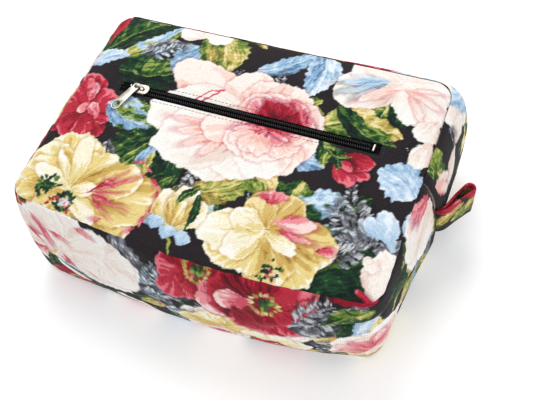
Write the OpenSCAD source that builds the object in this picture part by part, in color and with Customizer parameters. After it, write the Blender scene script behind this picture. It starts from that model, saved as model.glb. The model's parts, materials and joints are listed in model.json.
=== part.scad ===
// Boxy padded makeup bag lying on its back. X runs across the bag, Y from its bottom to its
// mouth, Z from its back panel to its front panel. The origin is on the back panel's outer face.

/* [Bag] */
// Width across the two ends
bag_w = 272; // [250:1:300]
// Height from the bottom corners to the mouth
bag_h = 180; // [164:1:200]
// Thickness from the back panel to the front panel
bag_t = 91; // [84:1:100]
// How far the stuffed bottom bows out between its corners
bottom_bow = 12; // [0:0.5:14]
// Radius of the three plain corners
corner_r = 12; // [8:0.5:14]
// Radius of the corner that the mouth's zip turns round
mouth_corner_r = 16; // [14:0.5:20]
// Height of the junction seam, where the mouth's zip ends on the right end
junction_y = 5; // [-10:1:20]

/* [Cloth] */
// Thickness of the outer canvas
cloth_t = 0.8; // [0.6:0.1:1]
// Thickness of the foam padding
padding_t = 2.2; // [1.8:0.1:2.4]
// Thickness of the lining
lining_t = 0.5; // [0.3:0.1:0.6]
// How far the front and back panels stand out past the gusset at their seams
seam_overhang = 0.8; // [0.5:0.1:1.2]

/* [Pocket] */
// Length of the window that shows the pocket's zip
window_l = 196; // [150:1:200]
// Width of the window
window_w = 9.6; // [9.4:0.1:12]
// Height of the window's middle line
window_y = 20; // [0:1:40]
// Width of the pocket bag behind the window
pocket_w = 210; // [200:1:220]
// Depth of the pocket bag below the window
pocket_depth = 84; // [60:1:90]

/* [Mouth] */
// Left end of the stretch whose edges swing open
flap_left = -66; // [-66:1:-40]
// Right end of the stretch whose edges swing open
flap_right = 88; // [60:1:88]
// Place of the closed mouth slider
slider_closed_x = -112; // [-112:1:-106]

/* [Zips] */
// Width of one zip tape
tape_w = 12.3; // [11:0.1:14]
// Thickness of a zip tape
tape_t = 0.5; // [0.4:0.1:0.6]
// Length of a slider
slider_l = 14; // [12:0.5:15]
// Width of a slider
slider_w = 8.6; // [8:0.1:9]
// Length of a pull tab from its bail to its tip
pull_l = 24.6; // [18:0.1:25]
// Width of a pull tab
pull_w = 6; // [5:0.1:6.4]

/* [Loop tab] */
// Width of the strap
loop_w = 28; // [24:0.5:30]
// Length of the loop out of its seam
loop_l = 40; // [32:0.5:44]
// Thickness of the folded strap
loop_t = 1.7; // [1.4:0.1:2]
// Radius of the fold at the loop's tip, on its outside
loop_fold_r = 6; // [5.6:0.1:7]
// Lean of the loop from straight out towards the mouth
loop_lean = 54; // [30:1:60]

/* [Hidden] */

half_w = bag_w / 2;
half_h = bag_h / 2;
mid_z = bag_t / 2;
gap = 0.3;                 // clearance between bodies that move
lid_z = bag_t - cloth_t;   // inner face of the front panel

// Layers of the gusset, as depths in from the panels' edge
outer_d = seam_overhang;
inner_d = outer_d + cloth_t;
lining_d = inner_d + padding_t;
inside_d = lining_d + lining_t;
facing_d = 3.2;
tape_d = 2.1;

// Layers behind the front panel, as heights
pocket_back_z = bag_t - 4.1;
pocket_front_z = bag_t - 2.1;
front_padding_z = pocket_back_z - 0.1 - padding_t;
front_lining_z = front_padding_z - lining_t;
pocket_layer_t = 0.3;
pocket_top_y = window_y + 14;

// Zip, measured from the middle of its tape: outwards is +Z and the coils run along X
coil_in = 0.8;             // inner side of a coil, from the zip's middle line
coil_w = 2.1;
coil_h = 1.8;
coil_z = tape_t / 2 + 0.05;
tape_in = 0.75;
plate_t = 1;
top_plate_z = 2.4;
low_plate_z = -2.2;
bail_z = top_plate_z + plate_t;
bail_h = 2.1;
bail_leg_x = -3.2;
pull_t = 1;
pull_z = bail_z + 1.2;
pull_tilt = 3.2;
zip_gap = 4.9;             // half the gap between the folded cloth edges over a zip
facing_gap = 6;
mouth_zip_y = half_h - tape_d - tape_t / 2;
pocket_zip_z = bag_t - 1.25;
pocket_slider_x = -84.5;
pocket_pull_turn = -21;    // how far the pocket's pull hangs from square to its zip

loop_reach = loop_l - loop_fold_r;
loop_turn = asin((loop_fold_r - loop_t) / loop_reach);
loop_pinch = 3;            // length over which the strap's two ends stay pinched together

stitch_w = 0.5;
stitch_t = 0.25;
stitch_in = 2.5;           // distance of the topstitching from an edge

cloth = [0.55, 0.43, 0.42];
lining = [0.86, 0.82, 0.74];
foam = [0.93, 0.92, 0.88];
black = [0.06, 0.06, 0.07];
nickel = [0.78, 0.77, 0.74];

// Points of an arc about c from angle a to angle b
function arc(c, r, a, b, n = 8) =
    [for (i = [0:n]) c + r * [cos(a + (b - a) * i / n), sin(a + (b - a) * i / n)]];

// Outline of the bag at a depth in from the panels' edge, with its bowed bottom
function outline(depth) =
    let (x = half_w - depth, y = half_h - depth, r = corner_r - depth, m = mouth_corner_r - depth)
    concat(
        arc([x - m, y - m], m, 0, 90),
        arc([r - x, y - r], r, 90, 180),
        arc([r - x, r - y], r, 180, 270),
        [for (i = [-9:9]) let (u = i / 10) [u * (x - r), -y - bottom_bow * (1 - u * u)]],
        arc([x - r, r - y], r, 270, 360)
    );

module panel(z, thickness, depth) {
    translate([0, 0, z])
        linear_extrude(thickness)
            polygon(outline(depth));
}

// Zones of the gusset, seen along Z
module mouth_zone() {
    translate([corner_r - half_w, half_h - 30])
        square([bag_w, 60]);
    translate([half_w - 30, junction_y])
        square([60, bag_h]);
}

module flap_zone(grow = 0) {
    translate([flap_left - grow, half_h - 30])
        square([flap_right - flap_left + 2 * grow, 60]);
}

// A layer of the gusset between two depths: zone is "main", "mouth" or "flap"
module wall(from, to, z0, z1, zone) {
    translate([0, 0, z0])
        linear_extrude(z1 - z0)
            difference() {
                intersection() {
                    difference() {
                        polygon(outline(from));
                        polygon(outline(to));
                    }
                    if (zone == "mouth") mouth_zone();
                    else if (zone == "flap") flap_zone();
                    else square([2 * bag_w, 2 * bag_h], center = true);
                }
                if (zone == "main") mouth_zone();
                if (zone == "mouth") flap_zone(gap);
            }
}

// The same layer on the front (side = 1) or the back (side = -1) half of the mouth,
// from near to far off the mouth's middle plane
module half_wall(side, near, far, from, to, zone) {
    z0 = side > 0 ? mid_z + near : mid_z - far;
    z1 = side > 0 ? mid_z + far : mid_z - near;
    wall(from, to, z0, z1, zone);
}

strip_far = lid_z - mid_z;
facing_far = front_lining_z - mid_z - gap;

module strip(side, zone, clearance) {
    color(cloth)
        half_wall(side, zip_gap, strip_far - clearance, outer_d, inner_d, zone);
}

module facing(side, zone) {
    color(lining)
        half_wall(side, facing_gap, facing_far, facing_d, facing_d + lining_t, zone);
}

module mouth_tape(side, zone) {
    color(black)
        half_wall(side, tape_in, tape_in + tape_w, tape_d, tape_d + tape_t, zone);
}

// The coil stops short of the zip's two ends, where its stops are clamped
module mouth_coil(side, zone) {
    coil_d = tape_d + tape_t / 2 - coil_z;
    color(black)
        difference() {
            half_wall(side, coil_in, coil_in + coil_w, coil_d - coil_h, coil_d, zone);
            translate([corner_r - half_w, half_h, mid_z])
                cube([16, 60, 20], center = true);
            translate([half_w, junction_y, mid_z])
                cube([60, 14, 20], center = true);
        }
}

module mouth_stitch(side, zone) {
    z = zip_gap + stitch_in;
    color(black)
        half_wall(side, z, z + stitch_w, outer_d - stitch_t, outer_d, zone);
}

// Outer cloth
module front_panel() {
    color(cloth)
        difference() {
            panel(lid_z, cloth_t, 0);
            translate([0, window_y, bag_t])
                cube([window_l, window_w, 4], center = true);
        }
}

module back_panel() {
    color(cloth) panel(0, cloth_t, 0);
}

module main_gusset() {
    color(cloth) wall(outer_d, inner_d, cloth_t, lid_z, "main");
}

module mouth_strip_front() { strip(1, "mouth", 0); }
module mouth_strip_back() { strip(-1, "mouth", 0); }
module mouth_flap_front() { strip(1, "flap", gap); }
module mouth_flap_back() { strip(-1, "flap", gap); }

// Padding and lining
module front_padding() {
    color(foam) panel(front_padding_z, padding_t, inside_d + 0.1);
}

module back_padding() {
    color(foam) panel(cloth_t, padding_t, inside_d + 0.1);
}

module gusset_padding() {
    color(foam) wall(inner_d, lining_d, cloth_t, lid_z, "main");
}

module front_lining() {
    color(lining) panel(front_lining_z, lining_t, inside_d + 0.1);
}

module back_lining() {
    color(lining) panel(cloth_t + padding_t, lining_t, inside_d + 0.1);
}

module gusset_lining() {
    color(lining) wall(lining_d, inside_d, cloth_t + padding_t, front_padding_z, "main");
}

module mouth_facing_front() { facing(1, "mouth"); }
module mouth_facing_back() { facing(-1, "mouth"); }
module flap_facing_front() { facing(1, "flap"); }
module flap_facing_back() { facing(-1, "flap"); }

// Pocket: a flat bag sewn behind the front panel, its mouth at the window
module pocket_sheet(z, thickness) {
    translate([-pocket_w / 2, window_y - pocket_depth, z])
        cube([pocket_w, pocket_top_y - window_y + pocket_depth, thickness]);
}

module pocket_bag_back() {
    color(lining) pocket_sheet(pocket_back_z, pocket_layer_t);
}

module pocket_bag_front() {
    hem = 1;
    rise = pocket_front_z - pocket_back_z - pocket_layer_t;
    color(lining)
        difference() {
            pocket_sheet(pocket_back_z + pocket_layer_t, rise + pocket_layer_t);
            translate([hem - pocket_w / 2, window_y - pocket_depth + hem, pocket_back_z])
                cube([
                    pocket_w - 2 * hem,
                    pocket_top_y - window_y + pocket_depth - 2 * hem,
                    pocket_layer_t + rise
                ]);
            translate([0, window_y, bag_t - 2])
                cube([window_l, 13, 6], center = true);
        }
}

// Pocket zip, its middle line along X at the window's middle
module pocket_frame() {
    translate([0, window_y, pocket_zip_z]) children();
}

module pocket_tape(side) {
    length = window_l + 8;
    color(black)
        pocket_frame()
            translate([-length / 2, side > 0 ? tape_in : -tape_in - tape_w, -tape_t / 2])
                cube([length, tape_w, tape_t]);
}

module pocket_coil(side) {
    length = window_l - 14;
    color(black)
        pocket_frame()
            translate([-length / 2, side > 0 ? coil_in : -coil_in - coil_w, coil_z])
                cube([length, coil_w, coil_h]);
}

module pocket_tape_upper() { pocket_tape(1); }
module pocket_tape_lower() { pocket_tape(-1); }
module pocket_coil_upper() { pocket_coil(1); }
module pocket_coil_lower() { pocket_coil(-1); }

// A pair of stops on the two tapes, and one stop that bridges them
module stop_pair() {
    for (side = [-1, 1])
        translate([-1.2, side * (coil_in + coil_w / 2) - coil_w / 2, tape_t / 2])
            cube([2.4, coil_w, 2.1]);
}

module bridge_stop() {
    translate([-1.2, -coil_in - coil_w, tape_t / 2])
        cube([2.4, 2 * (coil_in + coil_w), 2.1]);
}

module pocket_top_stops() {
    color(nickel)
        pocket_frame()
            translate([-window_l / 2 + 4.4, 0, 0]) stop_pair();
}

module pocket_bottom_stop() {
    color(nickel)
        pocket_frame()
            translate([window_l / 2 - 4.4, 0, 0]) bridge_stop();
}

// Slider: two plates joined by a post between the coils, with rims that guide the tapes
module slider_plate(z) {
    nose = 3;
    translate([0, 0, z])
        linear_extrude(plate_t)
            polygon([
                [-slider_l / 2, -slider_w / 2 + 1], [-slider_l / 2 + 1, -slider_w / 2],
                [slider_l / 2 - nose, -slider_w / 2], [slider_l / 2, -slider_w / 2 + 1.3],
                [slider_l / 2, slider_w / 2 - 1.3], [slider_l / 2 - nose, slider_w / 2],
                [-slider_l / 2 + 1, slider_w / 2], [-slider_l / 2, slider_w / 2 - 1]
            ]);
}

module slider() {
    rim = 0.7;
    rim_l = slider_l - 5;
    color(nickel) {
        slider_plate(top_plate_z);
        slider_plate(low_plate_z);
        translate([-slider_l / 2 + 0.6, -0.5, low_plate_z])
            cube([3, 1, top_plate_z - low_plate_z + plate_t]);
        for (side = [-1, 1]) {
            translate([-rim_l / 2, side * (slider_w - rim) / 2 - rim / 2, 0.9])
                cube([rim_l, rim, top_plate_z - 0.9 + 0.2]);
            translate([-rim_l / 2, side * (slider_w - rim) / 2 - rim / 2, low_plate_z])
                cube([rim_l, rim, -low_plate_z - 0.7]);
        }
        for (x = [bail_leg_x, -bail_leg_x])
            translate([x, 0, bail_z - 0.2])
                cylinder(d = 1.3, h = bail_h + 0.3, $fn = 24);
        translate([bail_leg_x - 0.65, -0.65, bail_z + bail_h])
            cube([1.3 - 2 * bail_leg_x, 1.3, 0.8]);
    }
}

// Pull tab: a flat plate with round ends, an eye round the bail's leg and a hole near its tip.
// It hangs along -Y from the bail's leg.
module pull() {
    eye_r = 1.3;
    back = pull_w / 2 - 0.4;
    color(nickel)
        translate([bail_leg_x, 0, pull_z])
            rotate([pull_tilt, 0, 0])
                translate([0, 0, -pull_t / 2])
                    linear_extrude(pull_t)
                        difference() {
                            union() {
                                circle(r = back, $fn = 48);
                                translate([-back, pull_w / 2 - pull_l])
                                    square([2 * back, pull_l - pull_w / 2]);
                                translate([0, pull_w / 2 - pull_l])
                                    circle(r = pull_w / 2, $fn = 48);
                            }
                            circle(r = eye_r, $fn = 32);
                            translate([0, pull_w / 2 - pull_l])
                                circle(r = pull_w / 2 - 1.1, $fn = 32);
                        }
}

module pocket_slider() {
    pocket_frame()
        translate([pocket_slider_x, 0, 0]) slider();
}

module pocket_pull() {
    pocket_frame()
        translate([pocket_slider_x, 0, 0])
            translate([bail_leg_x, 0, 0])
                rotate([0, 0, pocket_pull_turn])
                    translate([-bail_leg_x, 0, 0]) pull();
}

// Two runs of thread along the window's long sides and two across its ends
module pocket_topstitch() {
    length = window_l + 2 * stitch_in;
    width = window_w + 2 * stitch_in;
    color(black)
        translate([0, window_y, bag_t])
            linear_extrude(stitch_t)
                difference() {
                    square([length, width], center = true);
                    square([length - 2 * stitch_w, width - 2 * stitch_w], center = true);
                }
}

// Mouth zip
module mouth_tape_front() { mouth_tape(1, "mouth"); }
module mouth_tape_back() { mouth_tape(-1, "mouth"); }
module mouth_coil_front() { mouth_coil(1, "mouth"); }
module mouth_coil_back() { mouth_coil(-1, "mouth"); }
module flap_tape_front() { mouth_tape(1, "flap"); }
module flap_tape_back() { mouth_tape(-1, "flap"); }
module flap_coil_front() { mouth_coil(1, "flap"); }
module flap_coil_back() { mouth_coil(-1, "flap"); }

// The zip's own frame on the top of the bag: outwards is +Y, and the zip's -Y is down
module mouth_frame() {
    translate([0, mouth_zip_y, mid_z])
        rotate([90, 0, 0])
            mirror([0, 0, 1]) children();
}

module mouth_top_stops() {
    color(nickel)
        mouth_frame()
            translate([corner_r - half_w + 2.2, 0, 0]) stop_pair();
}

module mouth_bottom_stop() {
    color(nickel)
        translate([half_w - half_h + mouth_zip_y, junction_y + 4, mid_z])
            rotate([90, 0, 90])
                bridge_stop();
}

module mouth_slider() {
    mouth_frame()
        translate([slider_closed_x, 0, 0]) slider();
}

module mouth_pull() {
    mouth_frame()
        translate([slider_closed_x, 0, 0]) pull();
}

module mouth_topstitch() {
    mouth_stitch(1, "mouth");
    mouth_stitch(-1, "mouth");
}

module flap_topstitch_front() { mouth_stitch(1, "flap"); }
module flap_topstitch_back() { mouth_stitch(-1, "flap"); }

// Thread beside the junction seam, on the main gusset's side of it
module junction_topstitch() {
    color(black)
        translate([half_w - outer_d, junction_y - stitch_in - stitch_w, cloth_t + 2])
            cube([stitch_t, stitch_w, bag_t - 2 * cloth_t - 4]);
}

// Loop tab: a strap folded back on itself, its fold a round end and its two ends pinched in
// the seam
module loop_frame() {
    translate([half_w - outer_d + gap + loop_t, junction_y, mid_z - loop_w / 2])
        rotate([0, 0, loop_lean]) children();
}

module loop_tab() {
    color(cloth)
        loop_frame()
            linear_extrude(loop_w)
                difference() {
                    polygon(concat(
                        arc([loop_reach, 0], loop_fold_r, -90 - loop_turn, 90 + loop_turn, 24),
                        arc([0, 0], loop_t, 90 + loop_turn, 270 - loop_turn, 8)
                    ));
                    polygon(concat(
                        arc([loop_reach, 0], loop_fold_r - loop_t, -90 - loop_turn, 90 + loop_turn, 24),
                        [[loop_pinch, 0]]
                    ));
                }
}

// Thread along both edges of the strap, on the side of the loop that faces the bottom
module loop_topstitch() {
    color(black)
        loop_frame()
            for (z = [1.8, loop_w - 1.8 - stitch_w])
                translate([0, 0, z])
                    rotate([0, 0, -loop_turn])
                        translate([4, -loop_t - stitch_t, 0])
                            cube([loop_reach - 6, stitch_t, stitch_w]);
}

front_panel();
back_panel();
main_gusset();
mouth_strip_front();
mouth_strip_back();
mouth_flap_front();
mouth_flap_back();
front_padding();
back_padding();
gusset_padding();
front_lining();
back_lining();
gusset_lining();
mouth_facing_front();
mouth_facing_back();
flap_facing_front();
flap_facing_back();
pocket_bag_front();
pocket_bag_back();
pocket_tape_upper();
pocket_tape_lower();
pocket_coil_upper();
pocket_coil_lower();
pocket_top_stops();
pocket_bottom_stop();
pocket_slider();
pocket_pull();
pocket_topstitch();
mouth_tape_front();
mouth_tape_back();
mouth_coil_front();
mouth_coil_back();
flap_tape_front();
flap_tape_back();
flap_coil_front();
flap_coil_back();
mouth_top_stops();
mouth_bottom_stop();
mouth_slider();
mouth_pull();
mouth_topstitch();
flap_topstitch_front();
flap_topstitch_back();
junction_topstitch();
loop_tab();
loop_topstitch();
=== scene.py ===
import json
import math

import bmesh
import bpy
import numpy as np
from mathutils import Matrix, Quaternion, Vector


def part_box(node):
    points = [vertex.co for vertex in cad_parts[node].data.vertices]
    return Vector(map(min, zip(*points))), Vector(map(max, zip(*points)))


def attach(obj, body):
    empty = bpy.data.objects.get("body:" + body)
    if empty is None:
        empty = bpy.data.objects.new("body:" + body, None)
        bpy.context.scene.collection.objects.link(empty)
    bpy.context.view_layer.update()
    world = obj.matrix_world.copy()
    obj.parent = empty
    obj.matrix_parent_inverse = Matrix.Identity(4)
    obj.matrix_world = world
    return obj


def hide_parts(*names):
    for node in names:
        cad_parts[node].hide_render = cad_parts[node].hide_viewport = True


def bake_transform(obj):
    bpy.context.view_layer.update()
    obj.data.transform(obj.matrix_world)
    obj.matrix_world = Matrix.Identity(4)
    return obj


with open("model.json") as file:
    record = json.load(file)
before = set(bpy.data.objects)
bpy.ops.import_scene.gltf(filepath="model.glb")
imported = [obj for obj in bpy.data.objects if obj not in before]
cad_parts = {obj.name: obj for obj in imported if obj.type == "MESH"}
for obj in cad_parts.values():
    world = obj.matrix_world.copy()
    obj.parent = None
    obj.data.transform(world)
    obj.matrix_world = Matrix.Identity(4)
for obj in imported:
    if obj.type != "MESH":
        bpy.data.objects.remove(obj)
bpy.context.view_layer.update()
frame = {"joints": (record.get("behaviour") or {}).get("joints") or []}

# Lengths are in millimetres until a mesh is made, in the frame's own axes.
MM = 0.001


def node_box(node):
    low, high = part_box(node)
    return np.array(low) / MM, np.array(high) / MM


def joint(name):
    return next(j for j in frame["joints"] if j["name"] == name)


PANEL_HIGH = node_box("front_panel")[1]
HALF_W = PANEL_HIGH[0]
TOP_Y = PANEL_HIGH[1]
PANEL_Z = PANEL_HIGH[2]
MID_Z = PANEL_Z / 2

# Seams, a little inside the CAD outline because the stuffed walls bulge past it
SEAM_X = HALF_W - 5
SEAM_TOP = TOP_Y - 1.4
SEAM_BOTTOM = -85.0
SEAM_BOW = 11.0
SEAM_LEFT_SHIFT = 4.6
SEAM_R = 12.0
MOUTH_R = 15.0
FRONT_Z = PANEL_Z - 1.6
BACK_Z = 2.0
JUNCTION_Y = node_box("junction_topstitch")[1][1] + 2.5
MOUTH_X = node_box("mouth_strip_front")[0][0]

# Zips, measured from the middle of the tape: v across the zip, n outwards
STITCHED_LOW, STITCHED_HIGH = node_box("pocket_topstitch")
WINDOW_Y = STITCHED_LOW[1] / 2 + STITCHED_HIGH[1] / 2
WINDOW_X = STITCHED_HIGH[0] - 2.5
WINDOW_HALF = STITCHED_HIGH[1] - WINDOW_Y - 3.1
POCKET_TAPE_Z = sum(b[2] for b in node_box("pocket_tape_upper")) / 2
MOUTH_TAPE_Y = sum(b[1] for b in node_box("flap_tape_front")) / 2
TAPE_IN = 0.35
TAPE_OUT = 13.0
TAPE_T = 0.5
ZIP_EDGE = 4.9
COIL_PITCH = 1.6
COIL_R = 0.34
COIL_HEAD = 0.64
COIL_BACK = 2.64
COIL_LIFT = 1.15
STITCH_IN = 2.5
STITCH_L = 2.7
STITCH_W = 0.46
STITCH_PITCH = 2.85
JUNCTION_STITCH_S = 2.9

# Height of the wall between its seams, in cloth coordinates
WALL_CLOTH = 100


# ---------------------------------------------------------------- small maths

def smooth(a, b, x):
    t = np.clip((np.asarray(x, float) - a) / (b - a), 0, 1)
    return t * t * (3 - 2 * t)


def mix(a, b, w):
    return a + (b - a) * w


def hashed(i, j, seed):
    h = (i.astype(np.int64) * 374761393 + j.astype(np.int64) * 668265263 + seed * 144269504) & 0xFFFFFFFF
    h = ((h ^ (h >> 13)) * 1274126177) & 0xFFFFFFFF
    return ((h ^ (h >> 16)) & 0xFFFF) / 65535.0


def noise(u, v, seed):
    """Smooth noise from -1 to 1 whose lumps are about one unit across."""
    i, j = np.floor(u), np.floor(v)
    fu, fv = smooth(0, 1, u - i), smooth(0, 1, v - j)
    low = mix(hashed(i, j, seed), hashed(i + 1, j, seed), fu)
    high = mix(hashed(i, j + 1, seed), hashed(i + 1, j + 1, seed), fu)
    return 2 * mix(low, high, fv) - 1


def fbm(u, v, seed, octaves=3):
    total, gain = 0.0, 0.5
    for k in range(octaves):
        total = total + gain * noise(u * 2 ** k, v * 2 ** k, seed + 17 * k)
        gain *= 0.5
    return total / (1 - 0.5 ** octaves)


# ---------------------------------------------------------------- the bag's shape

def seam_path():
    """The seam outline before it is bowed, from the junction round the bottom and the left end to the
    mouth and back. Returns distance, x, y and the outward normal."""
    def line(a, b):
        n = max(2, int(math.dist(a, b) / 0.5))
        return [tuple(mix(np.array(a), np.array(b), i / n)) for i in range(n)]

    def arc(cx, cy, r, a0, a1):
        n = 40
        turns = [math.radians(mix(a0, a1, i / n)) for i in range(n)]
        return [(cx + r * math.cos(a), cy + r * math.sin(a)) for a in turns]

    w, top, low, r, m = SEAM_X, SEAM_TOP, SEAM_BOTTOM, SEAM_R, MOUTH_R
    points = line((w, JUNCTION_Y), (w, low + r))
    points += arc(w - r, low + r, r, 0, -90)
    points += line((w - r, low), (r - w, low))
    points += arc(r - w, low + r, r, -90, -180)
    points += line((-w, low + r), (-w, top - r))
    points += arc(r - w, top - r, r, 180, 90)
    points += line((r - w, top), (w - m, top))
    points += arc(w - m, top - m, m, 90, 0)
    points += line((w, top - m), (w, JUNCTION_Y)) + [(w, JUNCTION_Y)]
    xy = np.array(points)
    step = np.diff(xy, axis=0)
    length = np.hypot(step[:, 0], step[:, 1])
    s = np.concatenate([[0], np.cumsum(length)])
    tangent = np.gradient(xy, s, axis=0)
    tangent /= np.linalg.norm(tangent, axis=1)[:, None]
    return s, xy[:, 0], xy[:, 1], -tangent[:, 1], tangent[:, 0]


PATH_S, PATH_X, PATH_Y, PATH_NX, PATH_NY = seam_path()


def on_path(s):
    nx, ny = np.interp(s, PATH_S, PATH_NX), np.interp(s, PATH_S, PATH_NY)
    length = np.hypot(nx, ny)
    return np.interp(s, PATH_S, PATH_X), np.interp(s, PATH_S, PATH_Y), nx / length, ny / length


def path_normal(s):
    _, _, nx, ny = on_path(s)
    return np.stack([nx, ny, 0 * nx], -1)


def path_where(test, first):
    """Distance at which a test on (x, y) first or last holds."""
    found = PATH_S[test(PATH_X, PATH_Y)]
    return found[0] if first else found[-1]


GUSSET_END = path_where(lambda x, y: (x < MOUTH_X) & (y > 0), False)
MOUTH_END = PATH_S[-1]
MOUTH_SPLIT = GUSSET_END + 10 - MOUTH_X


def bowed(x, y):
    """Moves the bottom of the outline out into its bow."""
    low = smooth(20, SEAM_BOTTOM, y)
    return y - low * (SEAM_BOW * (1 - ((x - 4) / SEAM_X) ** 2) + 2.5 * smooth(-60, -SEAM_X, x))


def widened(x):
    """Moves the left end of the outline out a little, because that end is stuffed fuller."""
    return x - SEAM_LEFT_SHIFT * smooth(40, -SEAM_X, x)


def back_shift(x, y):
    """How far the back panel's seam lies below the front one, because the bag leans a little."""
    return -smooth(20, SEAM_BOTTOM, y) * (8 - 6 * x / SEAM_X)


RIGHT_BULGE = (
    (-85, 3), (-65, 5), (-46, 8.5), (-21, 11.0), (-5, 13.5), (5, 12.6),
    (14, 13.6), (40, 13.8), (68, 13.5), (89, 12.5)
)
LEFT_BULGE = ((-83, 5), (-40, 9), (10, 10.5), (60, 9), (89, 6))
BOTTOM_BULGE = ((-131, 4), (-100, 6.5), (-60, 9), (10, 12), (60, 12.5), (100, 10), (131, 5))


def bulge(x, y, nx, ny):
    """How far the middle of the wall stands out past its seams."""
    right = np.interp(y, *zip(*RIGHT_BULGE))
    left = np.interp(y, *zip(*LEFT_BULGE))
    bottom = np.interp(x, *zip(*BOTTOM_BULGE))
    mouth_turn = smooth(0.05, 0.8, nx)
    upper_ends = np.where(nx > 0, mouth_turn * right, nx ** 2 * left)
    lower_ends = nx ** 2 * np.where(nx > 0, right, left)
    ends = np.where(ny > 0, upper_ends, lower_ends)
    return ends + np.where(ny < 0, ny ** 2 * bottom, 0)


def bulge_profile(t):
    rise = np.clip(1 - np.abs(2 * t - 1), 0, 1)
    return 0.5 * np.sqrt(np.clip(1 - (1 - rise) ** 2, 0, 1)) + 0.5 * np.sin(math.pi / 2 * rise)


# Folds in the gusset: middle (u, v), direction in degrees, half length, half width, depth
GUSSET_FOLDS = (
    (96, 66, 18, 42, 4.0, -3.4), (88, 75, 16, 44, 4.5, 2.2), (118, 36, 62, 26, 5.0, -1.8),
    (-112, 44, -58, 34, 5.5, -2.2), (-84, 56, -24, 34, 5.5, 1.5), (-40, 30, 8, 40, 6.0, -1.3),
    (34, 52, 5, 46, 7.0, 1.2), (10, 20, -6, 50, 5.0, -1.2), (62, 26, 14, 30, 5.0, -1.4),
    (160, 60, -28, 26, 5.0, -1.5), (188, 42, 24, 26, 5.0, -1.4), (-170, 52, 20, 36, 6.0, -1.8),
    (-220, 40, -15, 40, 6.0, 1.6)
)


def fold_relief(u, v, folds):
    total = 0.0
    for cu, cv, turn, half_length, half_width, depth in folds:
        c, s = math.cos(math.radians(turn)), math.sin(math.radians(turn))
        along = ((u - cu) * c + (v - cv) * s) / half_length
        across = (-(u - cu) * s + (v - cv) * c) / half_width
        total = total + depth * np.exp(-across ** 2) * np.exp(-np.abs(along) ** 3)
    return total


def gusset_u(s):
    """Cloth coordinate along the gusset: x along the bottom, and on round both ends."""
    return path_where(lambda x, y: (x < 0) & (y < 0), True) - s


def wall_relief(u, v, t):
    held = np.sqrt(np.clip(4 * t * (1 - t), 0, 1))
    soft = 1.3 * fbm(u / 40, v / 34, 3) + 0.28 * fbm(u / 11, v / 10, 5)
    pucker = 0.3 * noise(u / 5.5, v / 30, 9) * np.exp(-np.minimum(t, 1 - t) * WALL_CLOTH / 6)
    return held * (soft + fold_relief(u, v, GUSSET_FOLDS)) + pucker


def junction_dip(distance):
    """How far the cloth is drawn in beside the junction seam."""
    return 1.2 * np.exp(-(distance / 2.2) ** 2)


def wall(s, t, depth=0.0):
    """A point of the gusset at path distance s, t of the way from the back seam to the front one."""
    s, t = np.broadcast_arrays(np.asarray(s, float), np.asarray(t, float))
    x, y, nx, ny = on_path(s)
    front_y = bowed(x, y)
    out = bulge(x, y, nx, ny) * bulge_profile(t) - depth
    out = out + wall_relief(gusset_u(s), WALL_CLOTH * t, t) - junction_dip(s)
    z = mix(BACK_Z + depth, FRONT_Z - depth, t)
    base_y = front_y + back_shift(x, y)
    return np.stack([widened(x) + nx * out, mix(base_y, front_y, t) + ny * out, z], -1)


def mouth_frame_out(s, v):
    """Where the mouth's half of the gusset lies without its own lobes, out from the seam outline."""
    x, y, nx, ny = on_path(s)
    t = (MID_Z + v - BACK_Z) / (FRONT_Z - BACK_Z)
    return bulge(x, y, nx, ny) * bulge_profile(t)


def mouth_at(s, v, n):
    """A point beside the mouth's zip: v from its middle plane, n out from the middle of its tape."""
    s, v, n = np.broadcast_arrays(*(np.asarray(a, float) for a in (s, v, n)))
    x, y, nx, ny = on_path(s)
    out = mouth_frame_out(s, v) + n + MOUTH_TAPE_Y - SEAM_TOP
    return np.stack([widened(x) + nx * out, y + ny * out, MID_Z + v], -1)


STRIP_FAR = FRONT_Z - MID_Z
STRIP_REST = 1.45


def strip_out(s, v):
    """Height of the mouth strips' outer face above the middle of the zip's tape."""
    x, y, nx, ny = on_path(s)
    share = np.clip((np.abs(v) - ZIP_EDGE) / (STRIP_FAR - ZIP_EDGE), 0, 1)
    on_top = smooth(0.2, 0.9, ny)
    front = np.asarray(v) > 0
    top_lobe = np.where(front, 4.2, 1.4)
    lobe = mix(1.8, top_lobe, on_top) * (4 * share * (1 - share)) ** mix(0.75, 0.5, on_top)
    fuller = 3.2 * on_top * np.exp(-((x - 80) / 30) ** 2) * smooth(0.1, 0.7, share) * (1 - share ** 8)
    lobe = lobe + front * fuller
    uneven = 0.9 * fbm(s / 34, v / 30, 21) + 0.25 * fbm(s / 10, v / 9, 23)
    relief = uneven * np.sqrt(4 * share * (1 - share))
    pucker = 0.22 * noise(s / 5, v / 20, 25) * np.exp(-share * 8)
    seam = 0.9 * smooth(0.93, 1, share)
    return STRIP_REST + lobe + relief + pucker - seam - junction_dip(s - MOUTH_END) - 0.5 * share


# ---------------------------------------------------------------- panels

def outline_distance(x, y, inset=0.0):
    """Distance in from the unbowed seam outline."""
    r = np.where((x > 0) & (y > 0), MOUTH_R, SEAM_R)
    cy = (SEAM_TOP + SEAM_BOTTOM) / 2
    half_h = (SEAM_TOP - SEAM_BOTTOM) / 2
    qx = np.abs(x) - (SEAM_X - r)
    qy = np.abs(y - cy) - (half_h - r)
    outside = np.hypot(np.maximum(qx, 0), np.maximum(qy, 0))
    return r - outside - np.minimum(np.maximum(qx, qy), 0) - inset


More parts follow.
